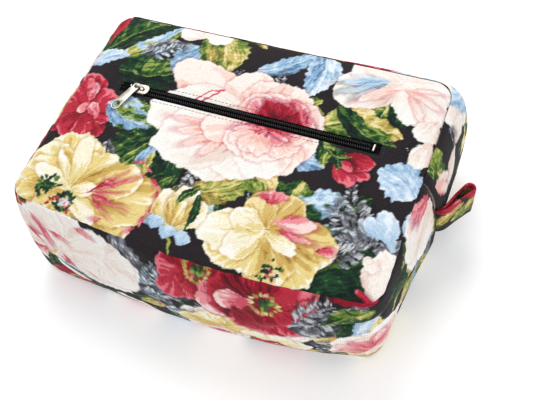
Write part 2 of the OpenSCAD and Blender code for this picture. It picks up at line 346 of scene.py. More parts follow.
def rounded_grid(xs, ys, inset=0.0):
    """Bends a grid that fills the seam's rectangle so that it fills the rounded outline."""
    x, y = np.meshgrid(xs, ys, indexing="ij")
    low, high = SEAM_BOTTOM + inset, SEAM_TOP - inset
    w = SEAM_X - inset
    r = np.where((x > 0) & (y > 0), MOUTH_R, SEAM_R) - inset
    a = (np.abs(x) - (w - r)) / r
    b = (np.abs(y - (low + high) / 2) - ((high - low) / 2 - r)) / r
    corner = (a > 0) & (b > 0)
    a, b = np.clip(a, 0, 1), np.clip(b, 0, 1)
    na, nb = a * np.sqrt(1 - b * b / 2), b * np.sqrt(1 - a * a / 2)
    rx = np.sign(x) * (w - r + na * r)
    mid = (low + high) / 2
    ry = mid + np.sign(y - mid) * ((high - low) / 2 - r + nb * r)
    return np.where(corner, rx, x), np.where(corner, ry, y)


def span(a, b, step):
    return np.linspace(a, b, max(2, int(round(abs(b - a) / step)) + 1))


PANEL_FOLDS = (
    (104, -66, 38, 26, 5, -1.2), (-104, -58, -40, 26, 5, -1.2), (112, 58, -48, 24, 6, -1.3),
    (-112, 66, 44, 22, 6, -1.1), (10, -72, 3, 60, 6, -0.9), (60, 62, 8, 40, 7, 1.0)
)


def panel_height(x, y):
    """Height of the front panel's face: crowned, flat along the pocket's zip, rolled down at its seam."""
    inside = outline_distance(x, y)
    crown = 4.4 * (1 - np.exp(-np.maximum(inside, 0) / 17))
    lump = 3.0 * np.exp(-((x - 92) / 40) ** 2 - ((y - 64) / 20) ** 2) * smooth(0, 14, inside)
    dip = -1.0 * np.exp(-((x + 60) / 45) ** 2 - ((y + 30) / 30) ** 2)
    soft = 0.9 * fbm(x / 52, y / 44, 31) + 0.22 * fbm(x / 13, y / 12, 33) + 0.07 * fbm(x / 4, y / 4, 34)
    z = FRONT_Z + crown + lump + dip + smooth(0, 16, inside) * (soft + fold_relief(x, y, PANEL_FOLDS))
    away = np.hypot(np.maximum(np.abs(x) - WINDOW_X, 0), np.maximum(np.abs(y - WINDOW_Y) - WINDOW_HALF, 0))
    below = np.where(y < WINDOW_Y, 21, 13)
    held = PANEL_Z + 0.25 + 0.12 * noise(x / 4.5, y / 9, 35)
    z = mix(z, held, np.exp(-(away / below) ** 2))
    pucker = 0.22 * noise(x / 5, y / 5, 37) * np.exp(-np.maximum(inside, 0) / 5)
    rim = np.clip(1 - inside / 2.6, 0, 1)
    return z + pucker - 1.7 * (1 - np.sqrt(np.clip(1 - rim ** 2, 0, 1)))


def back_height(x, y):
    """Height of the back panel's face: flat on the surface, rolled up to its seam."""
    inside = outline_distance(x, y)
    rim = np.clip(1 - inside / 16, 0, 1)
    return BACK_Z * rim ** 2 + 0.02


# ---------------------------------------------------------------- meshes

def make_mesh(name, points, faces, uv=None, rgb=None):
    mesh = bpy.data.meshes.new(name)
    points = np.asarray(points, float).reshape(-1, 3) * MM
    faces = np.asarray(faces, np.int32)
    sides = faces.shape[1]
    mesh.vertices.add(len(points))
    mesh.vertices.foreach_set("co", points.astype(np.float32).ravel())
    mesh.loops.add(faces.size)
    mesh.loops.foreach_set("vertex_index", faces.ravel())
    mesh.polygons.add(len(faces))
    mesh.polygons.foreach_set("loop_start", np.arange(0, faces.size, sides, dtype=np.int32))
    mesh.polygons.foreach_set("use_smooth", np.ones(len(faces), bool))
    if uv is not None:
        layer = mesh.uv_layers.new(name="cloth")
        layer.data.foreach_set("uv", np.asarray(uv, np.float32).reshape(-1, 2)[faces.ravel()].ravel())
    mesh.update(calc_edges=True)
    if rgb is not None:
        layer = mesh.color_attributes.new("print", "BYTE_COLOR", "POINT")
        rgba = np.ones((len(points), 4), np.float32)
        rgba[:, :3] = np.clip(rgb, 0, 1)
        layer.data.foreach_set("color_srgb", rgba.ravel())
    return mesh


def grid_faces(n, m, wrap_m=False, flip=False):
    i, j = np.meshgrid(np.arange(n - 1), np.arange(m if wrap_m else m - 1), indexing="ij")
    k = (j + 1) % m
    quads = np.stack([i * m + j, (i + 1) * m + j, (i + 1) * m + k, i * m + k], -1).reshape(-1, 4)
    return quads[:, ::-1] if flip else quads


def compact(points, faces, *extras):
    """Drops the points that no face uses."""
    used = np.unique(faces)
    place = np.full(len(points), -1)
    place[used] = np.arange(len(used))
    return (points[used], place[faces], *(e[used] for e in extras))


def join_parts(parts):
    """One point list and face list from several (points, faces)."""
    points, faces, start = [], [], 0
    for p, f in parts:
        points.append(np.asarray(p, float).reshape(-1, 3))
        faces.append(np.asarray(f) + start)
        start += len(points[-1])
    return np.concatenate(points), np.concatenate(faces)


def piece(name, mesh, slot, body=None, replaces=()):
    obj = bpy.data.objects.new(name, mesh)
    bpy.context.scene.collection.objects.link(obj)
    mesh.materials.append(MATERIALS[slot])
    if replaces:
        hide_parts(*replaces)
    if body:
        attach(obj, body)
    return obj


# ---------------------------------------------------------------- materials

def material(name):
    mat = bpy.data.materials.new(name)
    mat.use_nodes = True
    tree = mat.node_tree
    shader = tree.nodes["Principled BSDF"]
    return mat, tree, shader


def add(tree, kind, **inputs):
    node = tree.nodes.new(kind)
    for key, value in inputs.items():
        if key in node.inputs:
            node.inputs[key].default_value = value
        else:
            setattr(node, key, value)
    return node


def math_node(tree, operation, a, b):
    node = tree.nodes.new("ShaderNodeMath")
    node.operation = operation
    for socket, value in zip(node.inputs, (a, b)):
        if isinstance(value, (int, float)):
            socket.default_value = value
        else:
            tree.links.new(value, socket)
    return node.outputs[0]


def noise_node(tree, vector, scale, detail=2.0, roughness=0.5):
    node = add(tree, "ShaderNodeTexNoise", Scale=scale, Detail=detail, Roughness=roughness)
    tree.links.new(vector, node.inputs["Vector"])
    return node.outputs["Fac"]


def ramp(tree, fac, stops):
    node = tree.nodes.new("ShaderNodeValToRGB")
    elements = node.color_ramp.elements
    while len(elements) < len(stops):
        elements.new(0.5)
    for element, (place, colour) in zip(elements, stops):
        element.position = place
        element.color = (*colour, 1)
    tree.links.new(fac, node.inputs["Fac"])
    return node.outputs["Color"]


def bump(tree, height, strength, distance, shader):
    node = tree.nodes.new("ShaderNodeBump")
    node.inputs["Strength"].default_value = strength
    node.inputs["Distance"].default_value = distance
    tree.links.new(height, node.inputs["Height"])
    tree.links.new(node.outputs["Normal"], shader.inputs["Normal"])


def roughness(tree, shader, fac, spread, level):
    """Roughness that varies with a texture, from level up by spread."""
    value = math_node(tree, "ADD", math_node(tree, "MULTIPLY", fac, spread), level)
    tree.links.new(value, shader.inputs["Roughness"])


def grey(level):
    return (level, level, level)


def cloth_vector(tree):
    return tree.nodes.new("ShaderNodeUVMap").outputs["UV"]


def weave_height(tree, vector, pitch):
    """Threads that cross, in cloth coordinates of millimetres: a wave node repeats each 0.314 / scale."""
    scale = 0.314 / pitch
    wobble = noise_node(tree, vector, 0.35, 2)
    waves = []
    for direction in ("X", "Y"):
        wave = add(tree, "ShaderNodeTexWave", Scale=scale, Distortion=0.6)
        wave.bands_direction = direction
        wave.inputs["Detail"].default_value = 1
        tree.links.new(vector, wave.inputs["Vector"])
        waves.append(wave.outputs["Fac"])
    crossed = math_node(tree, "MULTIPLY", waves[0], waves[1])
    summed = math_node(tree, "ADD", waves[0], waves[1])
    height = math_node(tree, "ADD", crossed, math_node(tree, "MULTIPLY", summed, 0.5))
    return math_node(tree, "ADD", height, math_node(tree, "MULTIPLY", wobble, 0.9))


def mixed(tree, blend_type, fac, a, b):
    node = tree.nodes.new("ShaderNodeMix")
    node.data_type = "RGBA"
    node.blend_type = blend_type
    for socket, value in ((node.inputs[0], fac), (node.inputs[6], a), (node.inputs[7], b)):
        if isinstance(value, (int, float)):
            socket.default_value = value
        else:
            tree.links.new(value, socket)
    return node.outputs[2]


def floral_canvas():
    """Printed cotton canvas: the print's colour, slubs and worn threads, painted shade in the weave's
    hollows, woven bump and a soft sheen.
    """
    mat, tree, shader = material("floral_canvas")
    colour = add(tree, "ShaderNodeVertexColor", layer_name="print").outputs["Color"]
    vector = cloth_vector(tree)
    slub_u = add(tree, "ShaderNodeMapping")
    slub_u.inputs["Scale"].default_value = (0.25, 2.2, 1)
    slub_v = add(tree, "ShaderNodeMapping")
    slub_v.inputs["Scale"].default_value = (2.2, 0.25, 1)
    slubs = []
    for mapping in (slub_u, slub_v):
        tree.links.new(vector, mapping.inputs["Vector"])
        slubs.append(noise_node(tree, mapping.outputs["Vector"], 1.0, 3, 0.6))
    threads = math_node(tree, "MULTIPLY", math_node(tree, "ADD", slubs[0], slubs[1]), 0.5)
    shade = ramp(tree, threads, [(0.3, grey(0.80)), (0.52, grey(1)), (0.7, grey(1))])
    height = weave_height(tree, vector, 1.25)
    # Painted shade: the colour is darkened where the weave sinks between its threads, down to 0.44 in the
    # deepest hollows.
    weave_shade = ramp(tree, height, [(0.25, grey(0.44)), (0.6, grey(0.88)), (0.95, grey(1))])
    printed = mixed(tree, "MULTIPLY", 0.9, mixed(tree, "MULTIPLY", 0.9, colour, shade), weave_shade)
    fleck = ramp(tree, noise_node(tree, vector, 1.5, 2, 0.7), [(0.62, grey(0)), (0.78, grey(1))])
    worn = mixed(tree, "SCREEN", 0.07, printed, fleck)
    tree.links.new(worn, shader.inputs["Base Color"])
    rough = ramp(tree, threads, [(0.2, grey(0.92)), (0.8, grey(0.74))])
    tree.links.new(rough, shader.inputs["Roughness"])
    shader.inputs["Specular IOR Level"].default_value = 0.2
    shader.inputs["Sheen Weight"].default_value = 0.05
    shader.inputs["Sheen Roughness"].default_value = 0.5
    bump(tree, height, 0.6, 0.0003, shader)
    return mat


def plain_weave(name, colour, dark, pitch):
    mat, tree, shader = material(name)
    vector = cloth_vector(tree)
    tone = ramp(tree, noise_node(tree, vector, 0.9, 4, 0.7), [(0.3, dark), (0.7, colour)])
    tree.links.new(tone, shader.inputs["Base Color"])
    roughness(tree, shader, noise_node(tree, vector, 2.0), 0.12, 0.82)
    shader.inputs["Sheen Weight"].default_value = 0.1
    bump(tree, weave_height(tree, vector, pitch), 0.5, 0.0002, shader)
    return mat


def foam():
    mat, tree, shader = material("foam_padding")
    coord = tree.nodes.new("ShaderNodeTexCoord").outputs["Object"]
    cells = add(tree, "ShaderNodeTexVoronoi", Scale=1400.0)
    tree.links.new(coord, cells.inputs["Vector"])
    # Painted shade in the foam's pores: darker near the middle of each cell, where the bump sinks a pit.
    tone = ramp(tree, cells.outputs["Distance"], [(0.1, (0.62, 0.60, 0.54)), (0.6, (0.88, 0.87, 0.82))])
    tree.links.new(tone, shader.inputs["Base Color"])
    shader.inputs["Roughness"].default_value = 0.95
    bump(tree, cells.outputs["Distance"], 0.6, 0.0004, shader)
    return mat


def zip_tape():
    """Black herringbone tape."""
    mat, tree, shader = material("zip_tape")
    vector = cloth_vector(tree)
    yarn = noise_node(tree, vector, 2.4, 3, 0.7)
    tone = ramp(tree, yarn, [(0.3, grey(0.002)), (0.75, (0.006, 0.006, 0.007))])
    tree.links.new(tone, shader.inputs["Base Color"])
    roughness(tree, shader, noise_node(tree, vector, 3.0), 0.2, 0.72)
    shader.inputs["Specular IOR Level"].default_value = 0.05
    wave = add(tree, "ShaderNodeTexWave", Scale=0.5, Distortion=0.2)
    wave.bands_direction = "DIAGONAL"
    tree.links.new(vector, wave.inputs["Vector"])
    bump(tree, wave.outputs["Fac"], 0.5, 0.00025, shader)
    return mat


def nylon(name, tone, level):
    mat, tree, shader = material(name)
    coord = tree.nodes.new("ShaderNodeTexCoord").outputs["Object"]
    grain = noise_node(tree, coord, 900.0, 3, 0.6)
    colour = ramp(tree, grain, [(0.3, tuple(0.6 * c for c in tone)), (0.7, tone)])
    tree.links.new(colour, shader.inputs["Base Color"])
    roughness(tree, shader, grain, 0.2, level - 0.1)
    bump(tree, grain, 0.3, 0.0001, shader)
    return mat


def nickel():
    """Tumbled nickel plate: bright, with faint handling marks."""
    mat, tree, shader = material("nickel")
    coord = tree.nodes.new("ShaderNodeTexCoord").outputs["Object"]
    blotch = noise_node(tree, coord, 160.0, 4, 0.6)
    fine = noise_node(tree, coord, 1500.0, 2, 0.6)
    colour = ramp(tree, blotch, [(0.3, (0.36, 0.33, 0.28)), (0.7, (0.47, 0.44, 0.38))])
    tree.links.new(colour, shader.inputs["Base Color"])
    shader.inputs["Metallic"].default_value = 1.0
    roughness(tree, shader, blotch, 0.22, 0.2)
    bump(tree, fine, 0.05, 0.0001, shader)
    return mat


MATERIALS = {
    "floral_canvas": floral_canvas(),
    "lining_cotton": plain_weave("lining_cotton", (0.66, 0.58, 0.44), (0.52, 0.45, 0.33), 0.5),
    "foam_padding": foam(),
    "zip_tape": zip_tape(),
    "zip_coil": nylon("zip_coil", (0.006, 0.006, 0.007), 0.26),
    "nickel": nickel(),
    "black_thread": nylon("black_thread", (0.02, 0.02, 0.022), 0.6),
}

# ---------------------------------------------------------------- the print

GROUND = (0.130, 0.102, 0.118)
INK_DEPTH = 1.14
TONES = {
    "pink": ((0.84, 0.48, 0.50), (0.95, 0.74, 0.70), (0.98, 0.87, 0.83), (0.99, 0.95, 0.92)),
    "white": ((0.86, 0.72, 0.69), (0.95, 0.88, 0.84), (0.98, 0.95, 0.92), (0.99, 0.98, 0.96)),
    "rosy": ((0.66, 0.12, 0.24), (0.85, 0.36, 0.44), (0.94, 0.62, 0.65), (0.99, 0.88, 0.86)),
    "red": ((0.40, 0.05, 0.14), (0.62, 0.09, 0.19), (0.78, 0.20, 0.29), (0.93, 0.52, 0.57)),
    "cream": ((0.70, 0.53, 0.25), (0.84, 0.72, 0.42), (0.94, 0.86, 0.60), (0.99, 0.97, 0.88)),
    "gold": ((0.60, 0.40, 0.18), (0.76, 0.60, 0.30), (0.88, 0.76, 0.48), (0.96, 0.90, 0.70)),
    "ivory": ((0.80, 0.66, 0.36), (0.93, 0.86, 0.62), (0.99, 0.96, 0.86), (1.0, 0.99, 0.96)),
    "green": ((0.05, 0.15, 0.12), (0.10, 0.27, 0.16), (0.27, 0.43, 0.20), (0.62, 0.68, 0.36)),
    "deep": ((0.04, 0.11, 0.10), (0.06, 0.20, 0.14), (0.11, 0.30, 0.18), (0.36, 0.50, 0.24)),
    "lime": ((0.22, 0.36, 0.15), (0.45, 0.55, 0.24), (0.68, 0.71, 0.38), (0.90, 0.85, 0.58)),
    "olive": ((0.40, 0.40, 0.16), (0.66, 0.62, 0.32), (0.85, 0.76, 0.46), (0.96, 0.91, 0.70)),
    "blue": ((0.40, 0.54, 0.66), (0.56, 0.70, 0.82), (0.70, 0.81, 0.90), (0.86, 0.92, 0.96)),
    "sky": ((0.56, 0.70, 0.82), (0.71, 0.81, 0.90), (0.80, 0.88, 0.94), (0.93, 0.96, 0.99)),
    "grey": ((0.20, 0.21, 0.23), (0.38, 0.39, 0.42), (0.55, 0.56, 0.59), (0.84, 0.85, 0.86)),
    "ash": ((0.26, 0.28, 0.30), (0.42, 0.45, 0.49), (0.60, 0.66, 0.72), (0.88, 0.91, 0.93)),
}


class Sheet:
    """Cloth being printed, sampled at cloth coordinates (u, v)."""

    def __init__(self, u, v, seed):
        self.u, self.v = np.asarray(u, float), np.asarray(v, float)
        self.seed = seed
        grain = 1 + 0.08 * noise(self.u / 0.9, self.v / 0.9, seed)
        self.rgb = np.array(GROUND) * grain[:, None]
        self.wander_u = self.wander(seed + 1)
        self.wander_v = self.wander(seed + 3)
        self.count = 0

    def wander(self, seed):
        """How far the edges of the print stray: a broad drift and a fine waver."""
        return 1.5 * fbm(self.u / 7, self.v / 7, seed) + 0.5 * noise(self.u / 1.8, self.v / 1.8, seed + 1)

    def local(self, place, turn, reach):
        """The samples near a place, with their coordinates along and across a direction."""
        du, dv = self.u - place[0], self.v - place[1]
        near = np.flatnonzero(du * du + dv * dv < reach * reach)
        du, dv = du[near] + self.wander_u[near], dv[near] + self.wander_v[near]
        c, s = math.cos(math.radians(turn)), math.sin(math.radians(turn))
        self.count += 1
        return near, du * c + dv * s, dv * c - du * s

    def lay(self, near, cover, colour):
        cover = np.clip(cover, 0, 1)[:, None]
        self.rgb[near] = self.rgb[near] * (1 - cover) + colour * cover


def toned(t, name):
    """Colour from a set of four tones: flat patches with narrow borders, as a screen print has."""
    steps = np.array(TONES[name]) ** INK_DEPTH
    t = np.clip(t, 0, 1) * (len(steps) - 1)
    low = np.minimum(np.floor(t).astype(int), len(steps) - 2)
    share = smooth(0.34, 0.66, t - low)[:, None]
    return steps[low] * (1 - share) + steps[low + 1] * share


def petal(sheet, base, turn, length, width, tones, shade=0.0, ruffle=0.06):
    """A broad petal that grows from its base, streaked from the base outwards and lighter at its rim."""
    near, x, y = sheet.local(base, turn, 1.25 * length + 3)
    if len(near) == 0:
        return
    k = sheet.seed + 31 * sheet.count
    around = np.arctan2(y, x + 0.25 * length)
    edge = 1 + ruffle * noise(around * 9, 0 * y + k, k) + 0.5 * ruffle * noise(around * 24, 0 * y + k, k + 1)
    half = 0.5 * width * (0.42 + 0.58 * smooth(0, 0.55 * length, x))
    rho = np.hypot((x - 0.5 * length) / (0.5 * length), y / half) / edge
    mm = 1 / (0.5 * min(length, width))
    shadow = (1 - smooth(1.0, 1.0 + 2.2 * mm, rho)) * smooth(0.15 * length, 0.4 * length, x)
    dark, _, full, _ = np.array(TONES[tones])
    sheet.rgb[near] *= 1 - 0.4 * shadow[:, None] * (1 - dark / full)
    streak = noise(around * 15, x / length * 1.6, k + 2) + 0.8 * noise(around * 44, x / length * 2.5, k + 3)
    blot = fbm(x / (0.30 * length), y / (0.30 * length), k + 4)
    t = 0.16 + 0.62 * np.clip(x / length, 0, 1) ** 0.8 + 0.20 * streak + 0.24 * blot + shade
    t = t + 0.24 * smooth(0.76, 0.98, rho) - 0.34 * smooth(0.3, 0.95, y / half)
    sheet.lay(near, 1 - smooth(1 - 0.5 * mm, 1 + 0.1 * mm, rho), toned(t, tones))


def leaf(sheet, base, tip, width, tones, shade=0.0, other=None, serrate=0.16):
    """A pointed leaf with a midrib, side veins, and one half lighter than the other."""
    length = math.dist(base, tip)
    turn = math.degrees(math.atan2(tip[1] - base[1], tip[0] - base[0]))
    near, x, y = sheet.local(base, turn, 1.1 * length + width)
    if len(near) == 0:
        return
    k = sheet.seed + 47 * sheet.count
    a = np.clip(x / length, 0, 1)
    bend = 0.10 * length * np.sin(math.pi * a) * (1 if k % 2 else -1)
    y = y - bend
    half = 0.5 * width * np.sin(math.pi * a ** 0.8) ** 0.72 + 0.01
    teeth = 1 + serrate * (2 * np.abs((a * length / 6 - 0.5 * np.abs(y) / width) % 1 - 0.5) - 0.5)
    rho = np.abs(y) / (half * teeth)
    rho = np.where((x < 0) | (x > length), 9, rho)
    brush = noise(x / 5 - np.abs(y) / 2.2, y / 1.3, k + 1) + 0.8 * fbm(x / 5, y / 5, k + 2)
    vein_at = (a * 7.5 - np.abs(y) / width * 1.9) % 1
    vein = np.exp(-((vein_at - 0.5) / 0.10) ** 2) * smooth(0.06, 0.3, rho)
    side = np.where(y > 0, 0.17, -0.13)
    t = 0.34 + side + 0.42 * brush + 0.28 * vein + shade
    rib = np.exp(-(y / 0.5) ** 2)
    t = np.clip(t, 0, 0.98) * (1 - rib) + 0.96 * rib
    colour = toned(t, tones)
    if other:
        swap = smooth(-0.1, 0.15, fbm(x / 12, y / 9, k + 3) + 0.5 * (a - 0.5) + np.where(y > 0, 0.15, -0.3))
        colour = colour * (1 - swap[:, None]) + toned(t + 0.15, other) * swap[:, None]
    sheet.lay(near, 1 - smooth(0.96, 1.03, rho), colour)


def stem(sheet, points, thickness, tones, t=0.7):
    for a, b in zip(points, points[1:]):
        length = math.dist(a, b)
        turn = math.degrees(math.atan2(b[1] - a[1], b[0] - a[0]))
        near, x, y = sheet.local(a, turn, length + 3)
        out = np.hypot(x - np.clip(x, 0, length), y)
        sheet.lay(near, 1 - smooth(0.35 * thickness, 0.6 * thickness, out), toned(t + 0 * x, tones))


def dabs(sheet, rng, centre, ring, count, size, tones, low=0.0):
    """Small round dabs round a centre, such as stamens."""
    for i in range(count):
        turn = 360 * (i + rng.uniform(-0.3, 0.3)) / count
        r = rng.uniform(low, 1) * ring
        place = (centre[0] + r * math.cos(math.radians(turn)), centre[1] + r * math.sin(math.radians(turn)))
        near, x, y = sheet.local(place, turn, 3 * size + 3)
        reach = np.hypot(x / 1.6, y) / size
        sheet.lay(near, 1 - smooth(0.6, 1.0, reach), toned(rng.uniform(0.2, 1) + 0 * x, tones))


def sprig(sheet, rng, base, turn, length, tones="grey"):
    """A feathery filler sprig: short blades in pairs up a stem."""
    count = max(5, int(length / 2.6))
    for i in range(count):
        a = (i + 0.5) / count
        bend = turn + 14 * math.sin(3 * a)
        place = (
            base[0] + a * length * math.cos(math.radians(bend)),
            base[1] + a * length * math.sin(math.radians(bend))
        )
        for side in (-1, 1):
            blade = (0.30 + 0.12 * rng.random()) * length * (1.15 - 0.75 * a)
            lean = bend + side * rng.uniform(28, 58)
            petal(sheet, place, lean, blade, 0.26 * blade + 0.8, tones, rng.uniform(-0.05, 0.65), 0.35)


def blossom(sheet, rng, centre, radius, tones, shade=0.0, turn=None):
    """An open flower of five broad petals round a dark heart ringed by stamens."""
    start = rng.uniform(0, 360) if turn is None else turn
    for i in range(5):
        at = start + 360 * i / 5 + rng.uniform(-10, 10)
        size = radius * rng.uniform(0.88, 1.08)
        petal(sheet, centre, at, size, 1.12 * size, tones, shade + rng.uniform(-0.1, 0.1))
    heart_r = 0.17 * radius
    dabs(sheet, rng, centre, 1.9 * heart_r, 18, 0.04 * radius + 0.35, "red", 0.5)
    dabs(sheet, rng, centre, 1.7 * heart_r, 26, 0.026 * radius + 0.35, "olive", 0.75)
    dabs(sheet, rng, centre, 0.8 * heart_r, 12, 0.05 * radius + 0.3, "green")


def rose(sheet, rng, centre, radius, outer, inner, core):
    """A full rose: rings of petals that grow smaller and darker towards a cupped core."""
    for share, count, tones, shade in (
        (1.0, 7, outer, 0.12), (0.78, 6, outer, 0.02), (0.58, 6, inner, 0.08), (0.42, 5, inner, -0.08),
        (0.29, 5, core, 0.12), (0.19, 4, core, -0.1)
    ):
        for i in range(count):
            at = 360 * i / count + 40 * share + rng.uniform(-14, 14)
            size = radius * share * rng.uniform(0.9, 1.1)
            off = 0.10 * radius * share
            place = (
                centre[0] + off * math.cos(math.radians(at)), centre[1] + off * math.sin(math.radians(at))
            )
            petal(sheet, place, at, size, 1.05 * size, tones, shade + rng.uniform(-0.1, 0.1))


def bud(sheet, centre, size, turn, tones):
    """A rosebud: wrapped petals above a pointed green cup."""
    c, s = math.cos(math.radians(turn)), math.sin(math.radians(turn))
    foot = (centre[0] - 0.5 * size * c, centre[1] - 0.5 * size * s)
    petal(sheet, foot, turn, 1.05 * size, 0.62 * size, tones, 0.1)
    petal(sheet, foot, turn + 24, size, 0.55 * size, tones, -0.05)
    petal(sheet, foot, turn - 24, size, 0.55 * size, tones, 0.12)
    petal(sheet, foot, turn + 4, 0.72 * size, 0.36 * size, tones, -0.3)
    petal(sheet, foot, turn - 8, 0.62 * size, 0.26 * size, tones, 0.3)
    for lean in (-42, 38, 170):
        tip = (foot[0] + 0.42 * size * math.cos(math.radians(turn + lean)),
               foot[1] + 0.42 * size * math.sin(math.radians(turn + lean)))
        leaf(sheet, foot, tip, 0.2 * size, "green")


def scatter(sheet, rng, low, high, pitch):
    """Fills a stretch of cloth with leaves, sprigs and flowers on a jittered lattice."""
    us = np.arange(low[0], high[0] + pitch, pitch)
    vs = np.arange(low[1], high[1] + pitch, pitch)
    spots = [(u, v) for u in us for v in vs]
    spots = [(u + rng.uniform(-0.3, 0.3) * pitch, v + rng.uniform(-0.3, 0.3) * pitch) for u, v in spots]
    rng.shuffle(spots)
    greens = ("green", "lime", "deep", "blue", "green", "olive")
    for i, spot in enumerate(spots):
        for _ in range(3):
            turn = math.radians(rng.uniform(0, 360))
            size = rng.uniform(0.55, 0.85) * pitch
            tip = (spot[0] + size * math.cos(turn), spot[1] + size * math.sin(turn))
            leaf(sheet, spot, tip, 0.45 * size, greens[int(rng.integers(len(greens)))])
        if i % 3 == 0:
            sprig(sheet, rng, spot, rng.uniform(0, 360), 0.7 * pitch)
    for i, spot in enumerate(spots):
        kind = i % 6
        radius = rng.uniform(0.42, 0.56) * pitch
        if kind == 0:
            rose(sheet, rng, spot, radius, "white", "pink", "rosy")
        elif kind == 1:
            blossom(sheet, rng, spot, 0.9 * radius, "red")
        elif kind == 2:
            blossom(sheet, rng, spot, radius, "cream")
        elif kind == 4:
            rose(sheet, rng, spot, 0.85 * radius, "ivory", "cream", "gold")
        elif kind == 5:
            bud(sheet, spot, 0.7 * radius, rng.uniform(0, 360), "rosy")


# Leaves of the front panel's print: base, tip, width, tones, shade, second tones
FRONT_LEAVES = (
    ((-134, 40), (-83, 93), 32, "green", -0.05, None), ((-116, 44), (-78, 90), 17, "lime", 0.0, "blue"),
    ((-136, 34), (-108, 48), 15, "sky", 0.1, None), ((-110, 34), (-58, 44), 36, "deep", 0.0, "green"),
    ((-100, 50), (-62, 70), 15, "grey", 0.1, None), ((-52, 72), (-60, 34), 32, "blue", 0.15, None),
    ((-52, 88), (-31, 44), 38, "lime", 0.0, "olive"), ((-54, 58), (-30, 40), 8, "olive", 0.2, None),
    ((-46, 94), (-8, 84), 10, "olive", 0.1, None), ((-6, 59), (30, 93), 17, "blue", 0.05, None),
    ((34, 92), (37, 46), 26, "blue", 0.1, "sky"), ((48, 46), (36, 36), 9, "lime", 0.0, None),
    ((50, 27), (110, 32), 27, "lime", 0.1, "olive"), ((60, 45), (108, 24), 15, "deep", 0.05, "green"),
    ((88, 74), (90, 42), 24, "green", 0.15, "lime"), ((96, 60), (118, 43), 20, "deep", 0.05, None),
    ((30, -30), (58, -44), 20, "deep", 0.1, None), ((58, -20), (60, -48), 19, "green", 0.2, "lime"),
    ((58, -44), (98, -28), 22, "green", 0.15, "blue"), ((68, -60), (108, -42), 22, "lime", -0.1, "blue"),
    ((76, -92), (128, -60), 46, "deep", 0.16, None), ((-46, -12), (-76, -60), 38, "green", 0.1, "lime"),
    ((-104, -6), (-52, -12), 26, "deep", 0.0, None), ((-50, -22), (-48, -48), 16, "blue", 0.15, "lime"),
    ((-40, -14), (-40, -70), 24, "deep", 0.1, None), ((-26, -40), (-46, -72), 13, "green", 0.1, None),
    ((-104, 6), (-58, -6), 14, "blue", 0.1, "green"), ((-14, -50), (30, -24), 22, "olive", 0.05, "lime"),
    ((16, -20), (44, -42), 23, "lime", 0.1, "olive"), ((44, 2), (68, -6), 17, "blue", 0.05, "olive"),
    ((-26, -62), (-8, -44), 9, "lime", 0.1, None), ((2, -58), (30, -66), 20, "deep", 0.15, "blue"),
    ((56, 20), (66, -4), 15, "green", 0.1, "lime"), ((70, 12), (82, -2), 13, "deep", 0.2, None),
    ((-30, -80), (-20, -64), 12, "blue", 0.2, None), ((104, -18), (92, -42), 10, "green", 0.0, None),
)
# Sprigs: base, direction, length, tones
FRONT_SPRIGS = (
    ((14, 46), 80, 18, "grey"), ((-22, 42), 70, 16, "grey"), ((-14, -30), 250, 22, "grey"),
    ((-84, -26), 265, 26, "grey"), ((104, -40), 110, 30, "grey"), ((112, -52), 140, 34, "grey"),
    ((94, -66), 35, 30, "grey"), ((86, -74), 50, 26, "grey"), ((126, 30), 200, 12, "grey"),
    ((118, -46), 190, 30, "grey"), ((-92, 52), 25, 26, "ash")
)


def front_print(u, v):
    sheet = Sheet(u, v, 101)
    rng = np.random.default_rng(11)
    leaf(sheet, (82, -76), (134, -40), 24, "grey", 0.05)
    stem(sheet, [(24, -28), (20, -44), (6, -60)], 1.0, "lime")
    stem(sheet, [(26, -30), (28, -44), (38, -56)], 0.9, "blue")
    stem(sheet, [(36, 36), (44, 42), (52, 36)], 1.1, "lime")
    stem(sheet, [(-14, -78), (-8, -88), (-6, -96)], 1.2, "lime")
    for entry in FRONT_LEAVES:
        leaf(sheet, *entry)
    for base, turn, length, tones in FRONT_SPRIGS:
        sprig(sheet, rng, base, turn, length, tones)
    petal(sheet, (-126, 93), 0, 34, 13, "white", 0.2)
    petal(sheet, (-133, 56), 84, 36, 10, "red", 0.1)
    crimson_flower(sheet, rng)
    leaf(sheet, (-103, 3), (-58, -8), 20, "blue", 0.2, "green")
    white_flower(sheet, rng)
    big_rose(sheet, rng)
    cream_flower(sheet, rng)
    cream_rose(sheet, rng)
    bud(sheet, (84, 0), 27, -25, "red")
    petals(sheet, (-11, -82), "ivory", ((118, 34, 20, 0.0), (62, 32, 20, -0.05), (90, 37, 24, 0.1)))
    petals(sheet, (-10, -80), "cream", ((112, 26, 11, -0.1), (72, 28, 10, -0.1), (92, 24, 8, 0.15)))
    leaf(sheet, (-6, -46), (-16, -62), 7, "green", 0.1)
    leaf(sheet, (-4, -50), (-2, -78), 6, "deep", 0.15)
    leaf(sheet, (129, -10), (101, 6), 30, "sky", 0.12, serrate=0.22)
    for base, turn, length, width in (
        ((128, -50), 120, 30, 15), ((122, -44), 150, 20, 13), ((134, -44), 95, 26, 12)
    ):
        petal(sheet, base, turn, length, width, "sky", 0.1)
    for place in ((-24, -82), (-13, -86), (-2, -88)):
        petal(sheet, place, 80, 10, 13, "sky", 0.0)
    petal(sheet, (129, -90), 96, 40, 27, "white", 0.1)
    petal(sheet, (134, -92), 150, 24, 5, "red", 0.0)
    petal(sheet, (120, -56), 250, 12, 12, "white", 0.1)
    return sheet.rgb


def petals(sheet, base, tones, rows):
    for turn, length, width, shade in rows:
        petal(sheet, base, turn, length, width, tones, shade)


